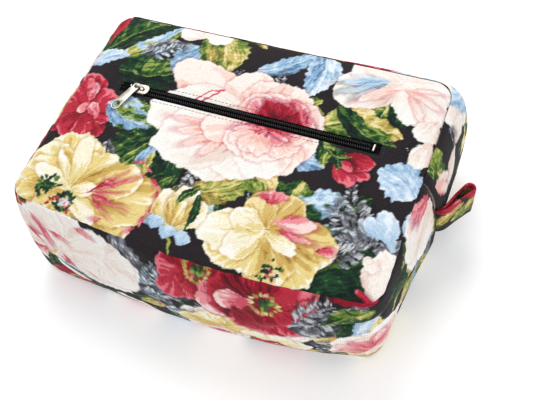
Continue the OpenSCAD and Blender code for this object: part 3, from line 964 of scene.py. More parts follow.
def crimson_flower(sheet, rng):
    petals(sheet, (-114, -10), "red", (
        (118, 38, 30, 0.1), (160, 34, 30, 0.05), (205, 34, 30, 0.0), (250, 26, 28, 0.0), (300, 26, 28, 0.08),
        (20, 22, 26, 0.05), (70, 26, 22, 0.15)
    ))
    petals(sheet, (-116, 0), "rosy", ((112, 18, 10, 0.1), (250, 14, 9, 0.1)))
    petal(sheet, (-104, -14), 130, 17, 9, "rosy", 0.05)
    petal(sheet, (-128, 4), 80, 16, 12, "red", 0.3)
    dabs(sheet, rng, (-106, -16), 6, 14, 0.9, "red")


def white_flower(sheet, rng):
    petal(sheet, (62, 88), 20, 30, 14, "ash", 0.3)
    petals(sheet, (96, 76), "white", (
        (120, 24, 28, 0.2), (50, 28, 34, 0.25), (5, 38, 34, 0.24), (-40, 44, 36, 0.25), (-62, 36, 22, 0.15),
        (228, 34, 24, 0.12), (205, 48, 40, 0.08), (165, 40, 30, 0.22), (140, 34, 30, 0.2)
    ))
    petals(sheet, (88, 72), "ash", ((222, 26, 5, 0.4), (208, 36, 6, 0.45), (194, 34, 5, 0.35)))
    petals(sheet, (90, 76), "sky", ((196, 36, 6, 0.0), (182, 26, 5, 0.1), (212, 30, 4, 0.05)))
    petals(sheet, (100, 72), "pink", (
        (-20, 28, 6, 0.15), (-52, 30, 6, 0.1), (10, 24, 4, 0.2), (214, 34, 7, 0.2)
    ))
    petal(sheet, (128, 54), -112, 22, 20, "white", 0.1)
    petal(sheet, (128, 36), -104, 26, 15, "white", 0.08)
    petal(sheet, (-58, 80), 165, 24, 18, "white", 0.25)
    petal(sheet, (-66, 92), -20, 30, 20, "white", 0.25)


def big_rose(sheet, rng):
    centre = (16, 16)
    petals(sheet, centre, "pink", (
        (158, 92, 40, 0.18), (130, 50, 42, 0.22), (100, 38, 44, 0.22), (62, 40, 40, 0.08),
        (20, 42, 38, -0.04), (-18, 42, 42, 0.10), (-55, 46, 42, 0.16)
    ))
    petals(sheet, centre, "white", (
        (185, 88, 54, 0.12), (232, 62, 56, 0.18), (262, 50, 46, 0.2), (208, 80, 56, 0.16), (-70, 46, 40, 0.2)
    ))
    petals(sheet, (0, 6), "pink", (
        (196, 44, 9, 0.0), (215, 40, 8, 0.05), (236, 32, 8, 0.05), (182, 46, 6, -0.1)
    ))
    petals(sheet, (18, 18), "pink", (
        (200, 46, 34, 0.22), (240, 34, 34, 0.24), (280, 34, 34, 0.2), (320, 32, 32, 0.06), (0, 32, 30, -0.06),
        (40, 28, 28, -0.1), (90, 26, 32, -0.04), (140, 28, 26, 0.05)
    ))
    petals(sheet, (22, 20), "rosy", (
        (10, 29, 20, -0.05), (48, 26, 20, -0.1), (100, 20, 22, -0.15), (150, 26, 18, 0.0), (205, 26, 14, 0.0),
        (248, 20, 18, 0.1), (300, 20, 20, 0.05)
    ))
    petals(sheet, (23, 21), "red", (
        (24, 21, 15, 0.0), (80, 16, 18, -0.1), (135, 20, 14, 0.0), (196, 19, 10, 0.0), (240, 14, 9, 0.1),
        (300, 14, 12, 0.1)
    ))
    petals(sheet, (24, 22), "red", ((110, 14, 11, -0.25), (20, 14, 9, -0.2), (200, 12, 7, -0.15)))
    petals(sheet, (20, 14), "rosy", (
        (195, 26, 6, 0.2), (338, 18, 5, 0.1), (250, 14, 5, 0.25), (222, 20, 4, 0.1)
    ))
    petals(sheet, (14, 8), "pink", ((215, 20, 16, 0.1), (258, 18, 18, 0.15), (300, 20, 16, 0.1)))
    stem(sheet, [(-26, 34), (-34, 26), (-38, 22)], 1.5, "rosy", 0.35)
    stem(sheet, [(-22, 36), (-32, 34), (-42, 24)], 1.3, "rosy", 0.45)
    stem(sheet, [(34, 38), (40, 28), (48, 22)], 2.2, "rosy", 0.5)


def cream_flower(sheet, rng):
    centre = (-92, -74)
    petals(sheet, centre, "cream", (
        (-36, 66, 34, -0.04), (118, 50, 50, 0.04), (150, 48, 42, 0.06), (175, 46, 40, 0.06),
        (205, 42, 34, 0.0), (-22, 58, 42, -0.09), (8, 68, 46, -0.06), (60, 40, 32, 0.08),
        (255, 26, 40, -0.05), (30, 52, 30, -0.1)
    ))
    petals(sheet, centre, "ivory", (
        (100, 46, 14, 0.1), (130, 38, 8, 0.1), (160, 38, 14, 0.12), (-32, 34, 14, 0.15), (20, 20, 12, 0.2)
    ))
    for turn, length in ((52, 24), (38, 30), (20, 22), (-8, 26), (-30, 22)):
        petal(sheet, (centre[0] + 14, centre[1] + 2), turn, length, 3.0, "rosy", -0.15, 0.35)
    for place, turn in (
        ((-60, -40), 20), ((-50, -40), -20), ((-40, -47), -50), ((-33, -55), -70), ((-30, -64), -90),
        ((-31, -74), -100), ((-35, -84), -120), ((-62, -62), 160), ((-58, -86), 200)
    ):
        petal(sheet, place, turn, 9, 3.0, "rosy", -0.1, 0.35)
    dabs(sheet, rng, (-109, -75), 9.5, 40, 1.5, "deep")
    dabs(sheet, rng, (-92, -82), 8, 24, 1.6, "deep", 0.55)
    dabs(sheet, rng, (-92, -82), 4, 9, 1.4, "sky")
    dabs(sheet, rng, (-96, -90), 12, 26, 1.1, "red", 0.5)
    dabs(sheet, rng, (-90, -88), 11, 16, 0.8, "cream", 0.4)


def cream_rose(sheet, rng):
    centre = (48, -62)
    petals(sheet, centre, "gold", ((96, 30, 36, 0.12), (60, 32, 30, 0.05), (125, 26, 26, 0.15)))
    petal(sheet, (46, -44), 100, 12, 20, "rosy", -0.1)
    petals(sheet, centre, "cream", (
        (-4, 48, 36, 0.0), (-34, 46, 34, -0.02), (-62, 38, 34, 0.0), (250, 32, 34, 0.1), (218, 40, 34, 0.15)
    ))
    petals(sheet, centre, "ivory", (
        (193, 44, 30, 0.15), (225, 30, 22, 0.15), (165, 26, 18, 0.05), (-20, 26, 12, 0.1)
    ))
    petal(sheet, (50, -54), 10, 28, 12, "rosy", 0.22)
    petal(sheet, (52, -58), -6, 30, 5, "rosy", -0.05, 0.2)
    petal(sheet, (82, -66), 15, 14, 7, "rosy", -0.1)
    dabs(sheet, rng, (60, -86), 8, 24, 1.1, "deep")
    dabs(sheet, rng, (62, -88), 7, 8, 0.8, "rosy", 0.3)


def gusset_print(u, v):
    sheet = Sheet(u, v, 211)
    rng = np.random.default_rng(23)
    scatter(sheet, rng, (-290, 10), (-140, 90), 42)
    scatter(sheet, rng, (-140, 8), (215, 30), 44)
    leaf(sheet, (-46, 100), (-2, 46), 34, "grey", 0.0)
    leaf(sheet, (-34, 60), (14, 70), 26, "ash", 0.0)
    for base, turn, length in (
        ((-22, 66), 60, 30), ((-26, 50), 20, 30), ((-10, 62), 80, 26), ((-14, 40), -10, 34), ((4, 40), 10, 30)
    ):
        sprig(sheet, rng, base, turn, length, "ash")
    petals(sheet, (-90, 64), "white", (
        (10, 58, 56, 0.18), (-30, 58, 50, 0.14), (60, 40, 60, 0.18), (170, 46, 50, 0.08), (-80, 46, 44, 0.08),
        (120, 44, 40, 0.12), (-10, 62, 40, 0.2), (30, 52, 36, 0.2)
    ))
    petals(sheet, (-54, 72), "white", ((-20, 28, 40, 0.24), (20, 24, 30, 0.24), (-60, 32, 36, 0.18)))
    for place, turn, length in (
        ((-116, 92), -52, 22), ((-108, 84), -66, 26), ((-104, 70), 190, 26), ((-92, 58), -75, 22),
        ((-76, 94), -10, 14), ((-118, 74), -60, 16), ((-96, 50), -62, 20), ((-100, 78), -20, 14)
    ):
        petal(sheet, place, turn, length, 4.6, "rosy", 0.0, 0.35)
    leaf(sheet, (-108, 42), (-70, 22), 9, "green", 0.0, "blue")
    leaf(sheet, (-84, 26), (-40, 14), 10, "deep", 0.1)
    petals(sheet, (28, 36), "cream", (
        (0, 30, 34, 0.1), (60, 28, 30, 0.1), (180, 30, 30, 0.1), (120, 24, 30, 0.15)
    ))
    petals(sheet, (66, 26), "ivory", ((20, 26, 26, 0.1), (80, 24, 26, 0.1), (150, 26, 26, 0.1)))
    blossom(sheet, rng, (16, 96), 32, "red", 0.06, 192)
    petal(sheet, (22, 92), -70, 34, 28, "rosy", 0.12)
    petal(sheet, (2, 88), -110, 26, 22, "red", 0.2)
    blossom(sheet, rng, (62, 84), 36, "red", -0.06, 186)
    petal(sheet, (54, 84), 196, 26, 22, "rosy", 0.1)
    petal(sheet, (40, 74), -40, 30, 22, "red", -0.2)
    leaf(sheet, (76, 60), (124, 98), 28, "grey", 0.15)
    petal(sheet, (98, 99), 0, 34, 6, "red", 0.0)
    for base, turn, length in (
        ((84, 58), 30, 34), ((90, 44), -20, 26), ((96, 36), -70, 22), ((82, 74), 40, 30)
    ):
        sprig(sheet, rng, base, turn, length, "grey")
    leaf(sheet, (128, 92), (98, 70), 16, "lime", 0.0, "green")
    leaf(sheet, (124, 84), (106, 42), 24, "green", 0.12, "olive")
    leaf(sheet, (132, 82), (118, 56), 9, "sky", 0.1)
    petals(sheet, (128, 36), "white", (
        (20, 30, 32, 0.1), (80, 30, 30, 0.1), (140, 28, 30, 0.0), (200, 26, 30, 0.0), (300, 26, 30, 0.05)
    ))
    petals(sheet, (126, 32), "pink", (
        (50, 24, 18, -0.1), (100, 22, 16, -0.15), (150, 22, 14, -0.15), (200, 24, 12, -0.25), (0, 22, 16, 0.0)
    ))
    petals(sheet, (126, 34), "rosy", (
        (75, 20, 7, 0.1), (30, 18, 6, 0.2), (125, 18, 7, 0.05), (190, 16, 6, 0.0)
    ))
    leaf(sheet, (172, 98), (140, 62), 20, "green", 0.05, "lime")
    leaf(sheet, (162, 70), (136, 88), 16, "deep", 0.1)
    leaf(sheet, (186, 66), (158, 40), 16, "blue", 0.0, "green")
    leaf(sheet, (150, 50), (176, 60), 12, "olive", 0.1, "lime")
    petals(sheet, (212, 88), "white", (
        (196, 50, 34, 0.15), (170, 40, 24, 0.1), (222, 44, 30, 0.1), (182, 48, 28, 0.12)
    ))
    for turn, length in ((164, 30), (173, 24), (156, 18), (182, 20)):
        petal(sheet, (213, 92), turn, length, 4.6, "rosy", 0.0, 0.35)
    return sheet.rgb


def mouth_print(u, v):
    """Along the mouth, u is the distance round the seam and v the distance from the zip."""
    sheet = Sheet(u, v, 307)
    rng = np.random.default_rng(37)
    scatter(sheet, rng, (GUSSET_END, -40), (MOUTH_END - 70, -10), 38)
    scatter(sheet, rng, (GUSSET_END + 12, 8), (MOUTH_END - 110, 34), 40)
    end = MOUTH_END
    leaf(sheet, (end - 86, 26), (end - 78, 44), 14, "blue", 0.1, "sky")
    petals(sheet, (end - 84, 44), "white", ((-10, 34, 20, 0.15), (-40, 26, 18, 0.1), (200, 24, 18, 0.15)))
    petals(sheet, (end - 100, 40), "white", ((0, 32, 24, 0.2), (180, 28, 24, 0.2)))
    leaf(sheet, (end - 84, 20), (end - 66, 46), 18, "sky", 0.1, "blue")
    petals(sheet, (end - 44, 30), "white", ((-20, 30, 12, 0.1), (170, 24, 12, 0.1)))
    leaf(sheet, (end - 22, 30), (end - 8, 46), 16, "green", 0.1, "lime")
    leaf(sheet, (end - 30, 42), (end - 8, 40), 12, "lime", 0.1, "green")
    sprig(sheet, rng, (end - 52, 42), -60, 14, "grey")
    petals(sheet, (end - 4, 34), "pink", ((200, 20, 10, 0.2), (230, 22, 10, 0.1)))
    top = MOUTH_SPLIT - 10
    petals(sheet, (top + 60, 30), "red", ((10, 34, 24, 0.0), (60, 22, 26, 0.05), (-30, 28, 24, 0.0)))
    petals(sheet, (top + 30, 38), "gold", ((0, 26, 14, 0.1), (180, 28, 14, 0.1)))
    petals(sheet, (top + 104, 38), "sky", ((0, 16, 14, 0.0), (180, 14, 12, 0.0)))
    return sheet.rgb


def back_print(u, v):
    sheet = Sheet(u, v, 401)
    scatter(sheet, np.random.default_rng(41), (-130, -95), (130, 85), 46)
    return sheet.rgb


def loop_print(u, v):
    """Along the loop's strap: crimson at one edge, yellow-green with dark strokes beyond."""
    sheet = Sheet(u, v, 503)
    rng = np.random.default_rng(53)
    for i in range(7):
        leaf(sheet, (i * 12 - 6, -8 + 4 * (i % 2)), (i * 12 + 16, 8), 13, "olive" if i % 2 else "lime", 0.05)
    for i in range(4):
        petal(sheet, (i * 24, 15), -8, 26, 11, "red", 0.05)
    sprig(sheet, rng, (34, -12), 20, 20, "grey")
    return sheet.rgb


# ---------------------------------------------------------------- pieces: cloth

def printed_mesh(name, points, faces, uv, sheet):
    """sheet paints the print for cloth coordinates (u, v)."""
    flat = np.asarray(uv, float).reshape(-1, 2)
    return make_mesh(name, points, faces, flat, sheet(flat[:, 0], flat[:, 1]))


def canvas_piece(name, points, faces, uv, sheet, body=None, replaces=()):
    mesh = printed_mesh(name, points, faces, uv, sheet)
    return piece(name, mesh, "floral_canvas", body, replaces)


def front_panel():
    """The face with its window. The window's edge is folded under, and so is the seam's."""
    step = 0.71
    wx, wy = WINDOW_X, WINDOW_HALF
    xs = np.concatenate([span(-SEAM_X, -wx, step), span(-wx, wx, step)[1:], span(wx, SEAM_X, step)[1:]])
    ys = np.concatenate([
        span(SEAM_BOTTOM, WINDOW_Y - wy, step), span(WINDOW_Y - wy, WINDOW_Y + wy, 0.8)[1:],
        span(WINDOW_Y + wy, SEAM_TOP, step)[1:]
    ])
    gx, gy = rounded_grid(xs, ys)
    away = np.maximum(np.abs(gx) - wx, np.abs(gy - WINDOW_Y) - wy)
    gz = panel_height(gx, gy) - 0.55 * np.clip(1 - away / 0.9, 0, 1) ** 2
    points = np.stack([widened(gx), bowed(gx, gy), gz], -1).reshape(-1, 3)
    faces = grid_faces(len(xs), len(ys))
    middle = np.stack([gx, gy], -1).reshape(-1, 2)[faces].mean(1)
    hole = (np.abs(middle[:, 0]) < wx) & (np.abs(middle[:, 1] - WINDOW_Y) < wy)
    uv = points[:, :2].copy()
    points, faces, uv = compact(points, faces[~hole], uv)
    canvas_piece("front_face", points, faces, uv, front_print, "bag", ["front_panel"])


def back_panel():
    xs, ys = span(-SEAM_X, SEAM_X, 1.15), span(SEAM_BOTTOM, SEAM_TOP, 1.15)
    gx, gy = rounded_grid(xs, ys)
    y = bowed(gx, gy) + back_shift(gx, gy)
    points = np.stack([widened(gx), y, back_height(gx, gy)], -1)
    faces = grid_faces(len(xs), len(ys), flip=True)
    uv = np.stack([gx, y], -1)
    canvas_piece("back_face", points, faces, uv, back_print, "bag", ["back_panel"])


def main_gusset():
    """The wall, its two edges drawn in beside the panels' seams."""
    step = 0.92
    s = span(0, GUSSET_END, step)
    t = span(0, 1, step / WALL_CLOTH)
    gs, gt = np.meshgrid(s, t, indexing="ij")
    points = wall(gs, gt)
    inward = np.exp(-np.minimum(gt, 1 - gt) * WALL_CLOTH / 1.5)
    points = points - 1.5 * inward[..., None] * path_normal(gs)
    uv = np.stack([gusset_u(gs), WALL_CLOTH * gt], -1)
    faces = grid_faces(len(s), len(t))
    canvas_piece("bottom_gusset", points, faces, uv, gusset_print, "bag", ["main_gusset"])


def strip_rows():
    """(v, n) of the mouth strip's section: its hem folded under beside the zip, then its face."""
    turn = np.radians(np.linspace(-90, 90, 7))
    hem = [(ZIP_EDGE + 2.6, -0.55), (ZIP_EDGE + 1.6, -0.55)]
    hem += [(ZIP_EDGE + 0.5 - 0.5 * math.cos(a), 0.5 * math.sin(a) - 0.5) for a in turn]
    face = [(v, 0.0) for v in span(ZIP_EDGE + 1.2, STRIP_FAR - 0.3, 0.9)]
    return np.array(hem + face)


HALVES = (
    ("left", GUSSET_END, MOUTH_SPLIT),
    ("right", MOUTH_SPLIT, MOUTH_END),
)
SIDES = (("front", 1), ("back", -1))


def swings(obj):
    """Bakes the piece's placement into its mesh."""
    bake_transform(obj)


def mouth_strips():
    rows = strip_rows()
    for side, sign in SIDES:
        for half, s0, s1 in HALVES:
            s = span(s0, s1, 0.95)
            gs, gv = np.meshgrid(s, sign * rows[:, 0], indexing="ij")
            n = strip_out(gs, gv) + rows[None, :, 1]
            points = mouth_at(gs, gv, n)
            uv = np.stack([gs, gv], -1)
            faces = grid_faces(len(s), len(rows), flip=sign > 0)
            node = "mouth_strip_" + side if half == "left" else "mouth_flap_" + side
            name = f"zip_gusset_{side}_{half}"
            obj = canvas_piece(name, points, faces, uv, mouth_print, None, [node])
            swings(obj)


# ---------------------------------------------------------------- pieces: padding and lining

def closed_shell(top, under, uv, flip=False):
    """A thin closed form from the grids of its outer and inner faces."""
    n, m = top.shape[:2]
    index = np.arange(n * m).reshape(n, m)
    rim = np.concatenate([index[0, :-1], index[:-1, -1], index[-1, :0:-1], index[:0:-1, 0]])
    after = np.roll(rim, -1)
    walls = np.stack([rim, after, after + n * m, rim + n * m], -1)
    faces = grid_faces(n, m)
    faces = np.concatenate([faces, faces[:, ::-1] + n * m, walls])
    points = np.concatenate([top.reshape(-1, 3), under.reshape(-1, 3)])
    flat = uv.reshape(-1, 2)
    return points, faces[:, ::-1] if flip else faces, np.concatenate([flat, flat])


def plain_piece(name, points, faces, uv, slot, body, replaces):
    return piece(name, make_mesh(name, points, faces, uv), slot, body, replaces)


def panel_layer(name, slot, level, thickness, inset, edge, front=True, tuck=0.0):
    """A layer that lines a panel: level is its outer face's distance in from the panel's face, and its
    edges thin down over the length edge. Its border turns towards the panel by tuck, under the facings."""
    xs = span(inset - SEAM_X, SEAM_X - inset, 2.4)
    ys = span(SEAM_BOTTOM + inset, SEAM_TOP - inset, 2.4)
    x, y = rounded_grid(xs, ys, inset)
    within = outline_distance(x, y, inset)
    inside = np.clip(within / edge, 0, 1)
    full = thickness * (0.12 + 0.88 * np.sqrt(1 - (1 - inside) ** 2))
    place_y = bowed(x, y)
    level = level - tuck * smooth(5.0, 2.0, within)
    if front:
        top = panel_height(x, y) - level
    else:
        place_y = place_y + back_shift(x, y)
        top = back_height(x, y) + level + thickness + 0.5 * fbm(x / 40, y / 40, 61) * inside
    flat = np.stack([x, y], -1)
    outer = np.stack([widened(x), place_y, top - 0.5 * (thickness - full)], -1)
    inner = outer - full[..., None] * np.array([0, 0, 1.0])
    points, faces, uv = closed_shell(outer, inner, flat)
    return plain_piece(name, points, faces, uv, slot, "bag", [name])


def gusset_layer(name, slot, depth, thickness, edge):
    s, t = np.meshgrid(span(0, GUSSET_END, 2.6), span(0, 1, 0.026), indexing="ij")
    inside = np.clip(np.minimum(t, 1 - t) * WALL_CLOTH / edge, 0, 1)
    full = thickness * (0.12 + 0.88 * np.sqrt(1 - (1 - inside) ** 2))
    outer = wall(s, t, depth)
    inner = outer - full[..., None] * path_normal(s)
    points, faces, uv = closed_shell(outer, inner, np.stack([gusset_u(s), WALL_CLOTH * t], -1))
    return plain_piece(name, points, faces, uv, slot, "bag", [name])


def paddings_and_linings():
    panel_layer("front_padding", "foam_padding", 4.3, 2.2, 7.2, 5.0)
    panel_layer("back_padding", "foam_padding", 0.8, 2.0, 7.2, 5.0, False)
    gusset_layer("gusset_padding", "foam_padding", 1.5, 2.0, 5.0)
    panel_layer("front_lining", "lining_cotton", 6.7, 0.5, 1.9, 1.0, tuck=5.3)
    panel_layer("back_lining", "lining_cotton", 3.0, 0.5, 1.9, 1.0, False, tuck=2.0)
    gusset_layer("gusset_lining", "lining_cotton", 3.9, 0.5, 1.0)


def pocket_bag():
    """Two thin layers sewn together round their edges behind the front panel; the outer one has the
    slot that the zip closes."""
    low, high = node_box("pocket_bag_back")
    xs, ys = span(low[0], high[0], 1.5), span(low[1], high[1], 1.5)
    x, y = np.meshgrid(xs, ys, indexing="ij")
    inside = np.minimum(np.minimum(x - low[0], high[0] - x), np.minimum(y - low[1], high[1] - y))
    apart = smooth(0, 7, inside)
    flat = np.stack([x, y], -1)
    slot_x, slot_y = WINDOW_X + 1, WINDOW_HALF + 1.7
    middle = np.stack([x, y], -1).reshape(-1, 2)[grid_faces(len(xs), len(ys))].mean(1)
    hole = (np.abs(middle[:, 0]) < slot_x) & (np.abs(middle[:, 1] - WINDOW_Y) < slot_y)
    for name, level, holed in (("pocket_bag_front", 2.5, True), ("pocket_bag_back", 3.9, False)):
        z = panel_height(x, y) - mix(3.3, level, apart)
        points = np.stack([x, y, z], -1).reshape(-1, 3)
        faces = grid_faces(len(xs), len(ys))
        uv = flat.reshape(-1, 2)
        if holed:
            points, faces, uv = compact(points, faces[~hole], uv)
        obj = plain_piece(name, points, faces, uv, "lining_cotton", "bag", [name])


def mouth_facings():
    for side, sign in SIDES:
        for half, s0, s1 in HALVES:
            s, v = np.meshgrid(span(s0, s1, 2.4), span(ZIP_EDGE + 1.4, STRIP_FAR - 1.6, 2.2), indexing="ij")
            n = 0.4 * (strip_out(s, sign * v) - STRIP_REST) - 1.0
            outer, inner = mouth_at(s, sign * v, n), mouth_at(s, sign * v, n - 0.45)
            points, faces, uv = closed_shell(outer, inner, np.stack([s, v], -1), sign > 0)
            node = "mouth_facing_" + side if half == "left" else "flap_facing_" + side
            obj = plain_piece(f"facing_{side}_{half}", points, faces, uv, "lining_cotton", None, [node])
            swings(obj)


# ---------------------------------------------------------------- pieces: zips

def pocket_at(u, v, n):
    """A point beside the pocket's zip: v across it from its middle, n out from the middle of its tape."""
    u, v, n = np.broadcast_arrays(*(np.asarray(a, float) for a in (u, v, n)))
    return np.stack([u, WINDOW_Y + v, POCKET_TAPE_Z + n], -1)


def tape_shell(at, u0, u1, sign):
    u, v = np.meshgrid(span(u0, u1, 2.5), span(TAPE_IN, TAPE_OUT, 1.5), indexing="ij")
    cord = 0.22 * np.exp(-((v - TAPE_IN - 0.4) / 0.5) ** 2)
    outer = at(u, sign * v, TAPE_T / 2 + cord)
    inner = at(u, sign * v, -TAPE_T / 2 + 0 * u)
    return closed_shell(outer, inner, np.stack([u, sign * v], -1), sign < 0)


def tube(path, side, radii, sides):
    """A closed tube along a path. side is a direction roughly across it, at each point or for all."""
    path = np.asarray(path, float)
    along = np.gradient(path, axis=0)
    along /= np.linalg.norm(along, axis=1)[:, None]
    first = np.cross(along, side)
    first /= np.linalg.norm(first, axis=1)[:, None]
    second = np.cross(along, first)
    turn = np.arange(sides) * 2 * math.pi / sides
    ring = radii[0] * np.cos(turn)[None, :, None] * second[:, None] + (
        radii[1] * np.sin(turn)[None, :, None] * first[:, None]
    )
    grow = np.ones(len(path))
    grow[[0, -1]] = 0.55
    points = path[:, None] + ring * grow[:, None, None]
    faces = grid_faces(len(path), sides, wrap_m=True)
    fan = np.array([[0, k, k + 1, k + 2] for k in range(1, sides - 2, 2)])
    last = (len(path) - 1) * sides
    return points.reshape(-1, 3), np.concatenate([faces, fan, fan[:, ::-1] + last])[:, ::-1]


def coil(at, u0, u1, sign):
    """One side of a nylon coil zip: a wound filament, with room for the slider's post at its heads."""
    turns = int(round((u1 - u0) / COIL_PITCH))
    a = np.linspace(0, 2 * math.pi * turns, turns * 9 + 1)
    if sign < 0:
        a = a + math.pi
    u = np.linspace(u0, u1, len(a))
    v = sign * mix(COIL_HEAD, COIL_BACK, 0.5 - 0.5 * np.cos(a))
    n = COIL_LIFT + 0.62 * np.sin(a) + 0.12 * np.cos(2 * a)
    path = at(u, v, n)
    ahead = at(u + 0.5, v, n) - at(u - 0.5, v, n)
    return tube(path, ahead, (COIL_R, COIL_R), 6)


def zip_rows():
    for name, sign in (("upper", 1), ("lower", -1)):
        reach = node_box("pocket_tape_" + name)[1][0]
        points, faces, uv = tape_shell(pocket_at, -reach, reach, sign)
        node = "pocket_tape_" + name
        plain_piece("pocket_zip_tape_" + name, points, faces, uv, "zip_tape", "bag", [node])
        reach = node_box("pocket_coil_" + name)[1][0]
        points, faces = coil(pocket_at, -reach, reach, sign)
        node = "pocket_coil_" + name
        plain_piece("pocket_zip_coil_" + name, points, faces, None, "zip_coil", "bag", [node])
    for side, sign in SIDES:
        for half, s0, s1 in HALVES:
            zone = "mouth" if half == "left" else "flap"
            points, faces, uv = tape_shell(mouth_at, s0, s1, sign)
            name = f"mouth_zip_tape_{side}_{half}"
            obj = plain_piece(name, points, faces, uv, "zip_tape", None, [f"{zone}_tape_{side}"])
            swings(obj)
            start = s0 + 7 if half == "left" else s0
            end = s1 - 7 if half == "right" else s1
            points, faces = coil(mouth_at, start, end, sign)
            name = f"mouth_zip_coil_{side}_{half}"
            obj = plain_piece(name, points, faces, None, "zip_coil", None, [f"{zone}_coil_{side}"])
            swings(obj)


def prism(bm, outline, low, high, round_off):
    """Adds a plate with rounded edges to bm, from its outline in x and y."""
    part = bmesh.new()
    face = part.faces.new([part.verts.new((x * MM, y * MM, low * MM)) for x, y in outline])
    moved = bmesh.ops.extrude_face_region(part, geom=[face])["geom"]
    verts = [g for g in moved if isinstance(g, bmesh.types.BMVert)]
    bmesh.ops.translate(part, verts=verts, vec=(0, 0, (high - low) * MM))
    bmesh.ops.recalc_face_normals(part, faces=part.faces)
    edges = [e for e in part.edges if abs(e.verts[0].co.z - e.verts[1].co.z) < 1e-7]
    bmesh.ops.bevel(part, geom=edges, offset=round_off * MM, segments=3, profile=0.5, affect="EDGES")
    temp = bpy.data.meshes.new("part")
    part.to_mesh(temp)
    part.free()
    bm.from_mesh(temp)
    bpy.data.meshes.remove(temp)


def add_tube(bm, path, side, radii):
    points, faces = tube(path, side, radii, 12)
    temp = make_mesh("part", points, faces)
    bm.from_mesh(temp)
    bpy.data.meshes.remove(temp)


def arc_points(cx, cy, r, a0, a1, n):
    turns = np.radians(np.linspace(a0, a1, n))
    return [(cx + r * math.cos(a), cy + r * math.sin(a)) for a in turns]


def rounded_outline(x0, x1, y0, y1, r):
    n = 5
    return (
        arc_points(x1 - r, y1 - r, r, 0, 90, n) + arc_points(x0 + r, y1 - r, r, 90, 180, n)
        + arc_points(x0 + r, y0 + r, r, 180, 270, n) + arc_points(x1 - r, y0 + r, r, 270, 360, n)
    )


def metal_piece(name, bm, matrix, body, replaces):
    """Places a metal part that was made in a zip's own frame."""
    mesh = bpy.data.meshes.new(name)
    bm.to_mesh(mesh)
    bm.free()
    mesh.transform(matrix)
    if matrix.determinant() < 0:
        mesh.flip_normals()
    mesh.polygons.foreach_set("use_smooth", np.ones(len(mesh.polygons), bool))
    mesh.set_sharp_from_angle(angle=math.radians(35))
    piece(name, mesh, "nickel", body, replaces)


def zip_matrix(origin, u, v, n):
    """From a zip's own frame, in metres, to the bag's: columns are the directions of u, v and n."""
    matrix = Matrix((u, v, n)).transposed().to_4x4()
    matrix.translation = Vector(origin) * MM
    return matrix


# The slider and its pull, in the zip's own frame
SLIDER_L = node_box("pocket_slider")[1][0] - node_box("pocket_slider")[0][0]
SLIDER_W = node_box("pocket_slider")[1][1] - node_box("pocket_slider")[0][1]
SLIDER_TOP = 2.4
SLIDER_LOW = -2.2
PLATE_T = 1.0
BAIL_X = 3.2
BAIL_H = 2.55
PULL_W = 7.6
PULL_EYE_R = 2.7
PULL_L = 24.6
PULL_Z = SLIDER_TOP + PLATE_T + 1.2
PULL_TILT = 2.4
POCKET_PULL_TURN = -21


def slider_outline():
    l, w = SLIDER_L / 2, SLIDER_W / 2
    nose = [(x, y * w / 3.2) for x, y in arc_points(l - 3.2, 0, 3.2, 62, -62, 9)]
    tail = arc_points(1.4 - l, 1.4 - w, 1.4, 270, 180, 5) + arc_points(1.4 - l, w - 1.4, 1.4, 180, 90, 5)
    right = [(0.35 * l, -w), (-0.1 * l, 0.25 - w)]
    left = [(-0.1 * l, w - 0.25), (0.35 * l, w)]
    return nose + right + tail + left


def slider(name, matrix, body):
    """Two plates held apart by a post, rims that guide the tapes, and a bail for the pull."""
    bm = bmesh.new()
    outline = slider_outline()
    prism(bm, outline, SLIDER_TOP, SLIDER_TOP + PLATE_T, 0.32)
    prism(bm, outline, SLIDER_LOW, SLIDER_LOW + PLATE_T, 0.32)
    back = SLIDER_L / 2
    post = rounded_outline(0.7 - back, 3.6 - back, -0.25, 0.25, 0.2)
    prism(bm, post, SLIDER_LOW + 0.5, SLIDER_TOP + 0.5, 0.05)
    rim_l, edge = (SLIDER_L - 5) / 2, SLIDER_W / 2
    for side in (-1, 1):
        inner, outer = sorted((side * (edge - 0.75), side * (edge - 0.02)))
        rim = rounded_outline(-rim_l, rim_l, inner, outer, 0.3)
        prism(bm, rim, 0.9, SLIDER_TOP + 0.5, 0.15)
        prism(bm, rim, SLIDER_LOW + 0.5, -0.7, 0.15)
    foot = SLIDER_TOP + PLATE_T - 0.4
    top = SLIDER_TOP + PLATE_T + BAIL_H
    r = 1.5
    path = [(-BAIL_X, foot), (-BAIL_X, mix(foot, top - r, 0.5))]
    path += arc_points(r - BAIL_X, top - r, r, 180, 90, 7)
    path += arc_points(BAIL_X - r, top - r, r, 90, 0, 7)
    path += [(BAIL_X, mix(foot, top - r, 0.5)), (BAIL_X, foot)]
    add_tube(bm, [(x, 0, z) for x, z in path], (0, 1, 0), (0.78, 0.5))
    for x in (-BAIL_X, BAIL_X):
        pad = rounded_outline(x - 1.05, x + 1.05, -1.15, 1.15, 0.7)
        prism(bm, pad, foot, SLIDER_TOP + PLATE_T + 0.35, 0.25)
    metal_piece(name + "_body", bm, matrix, body, [name])


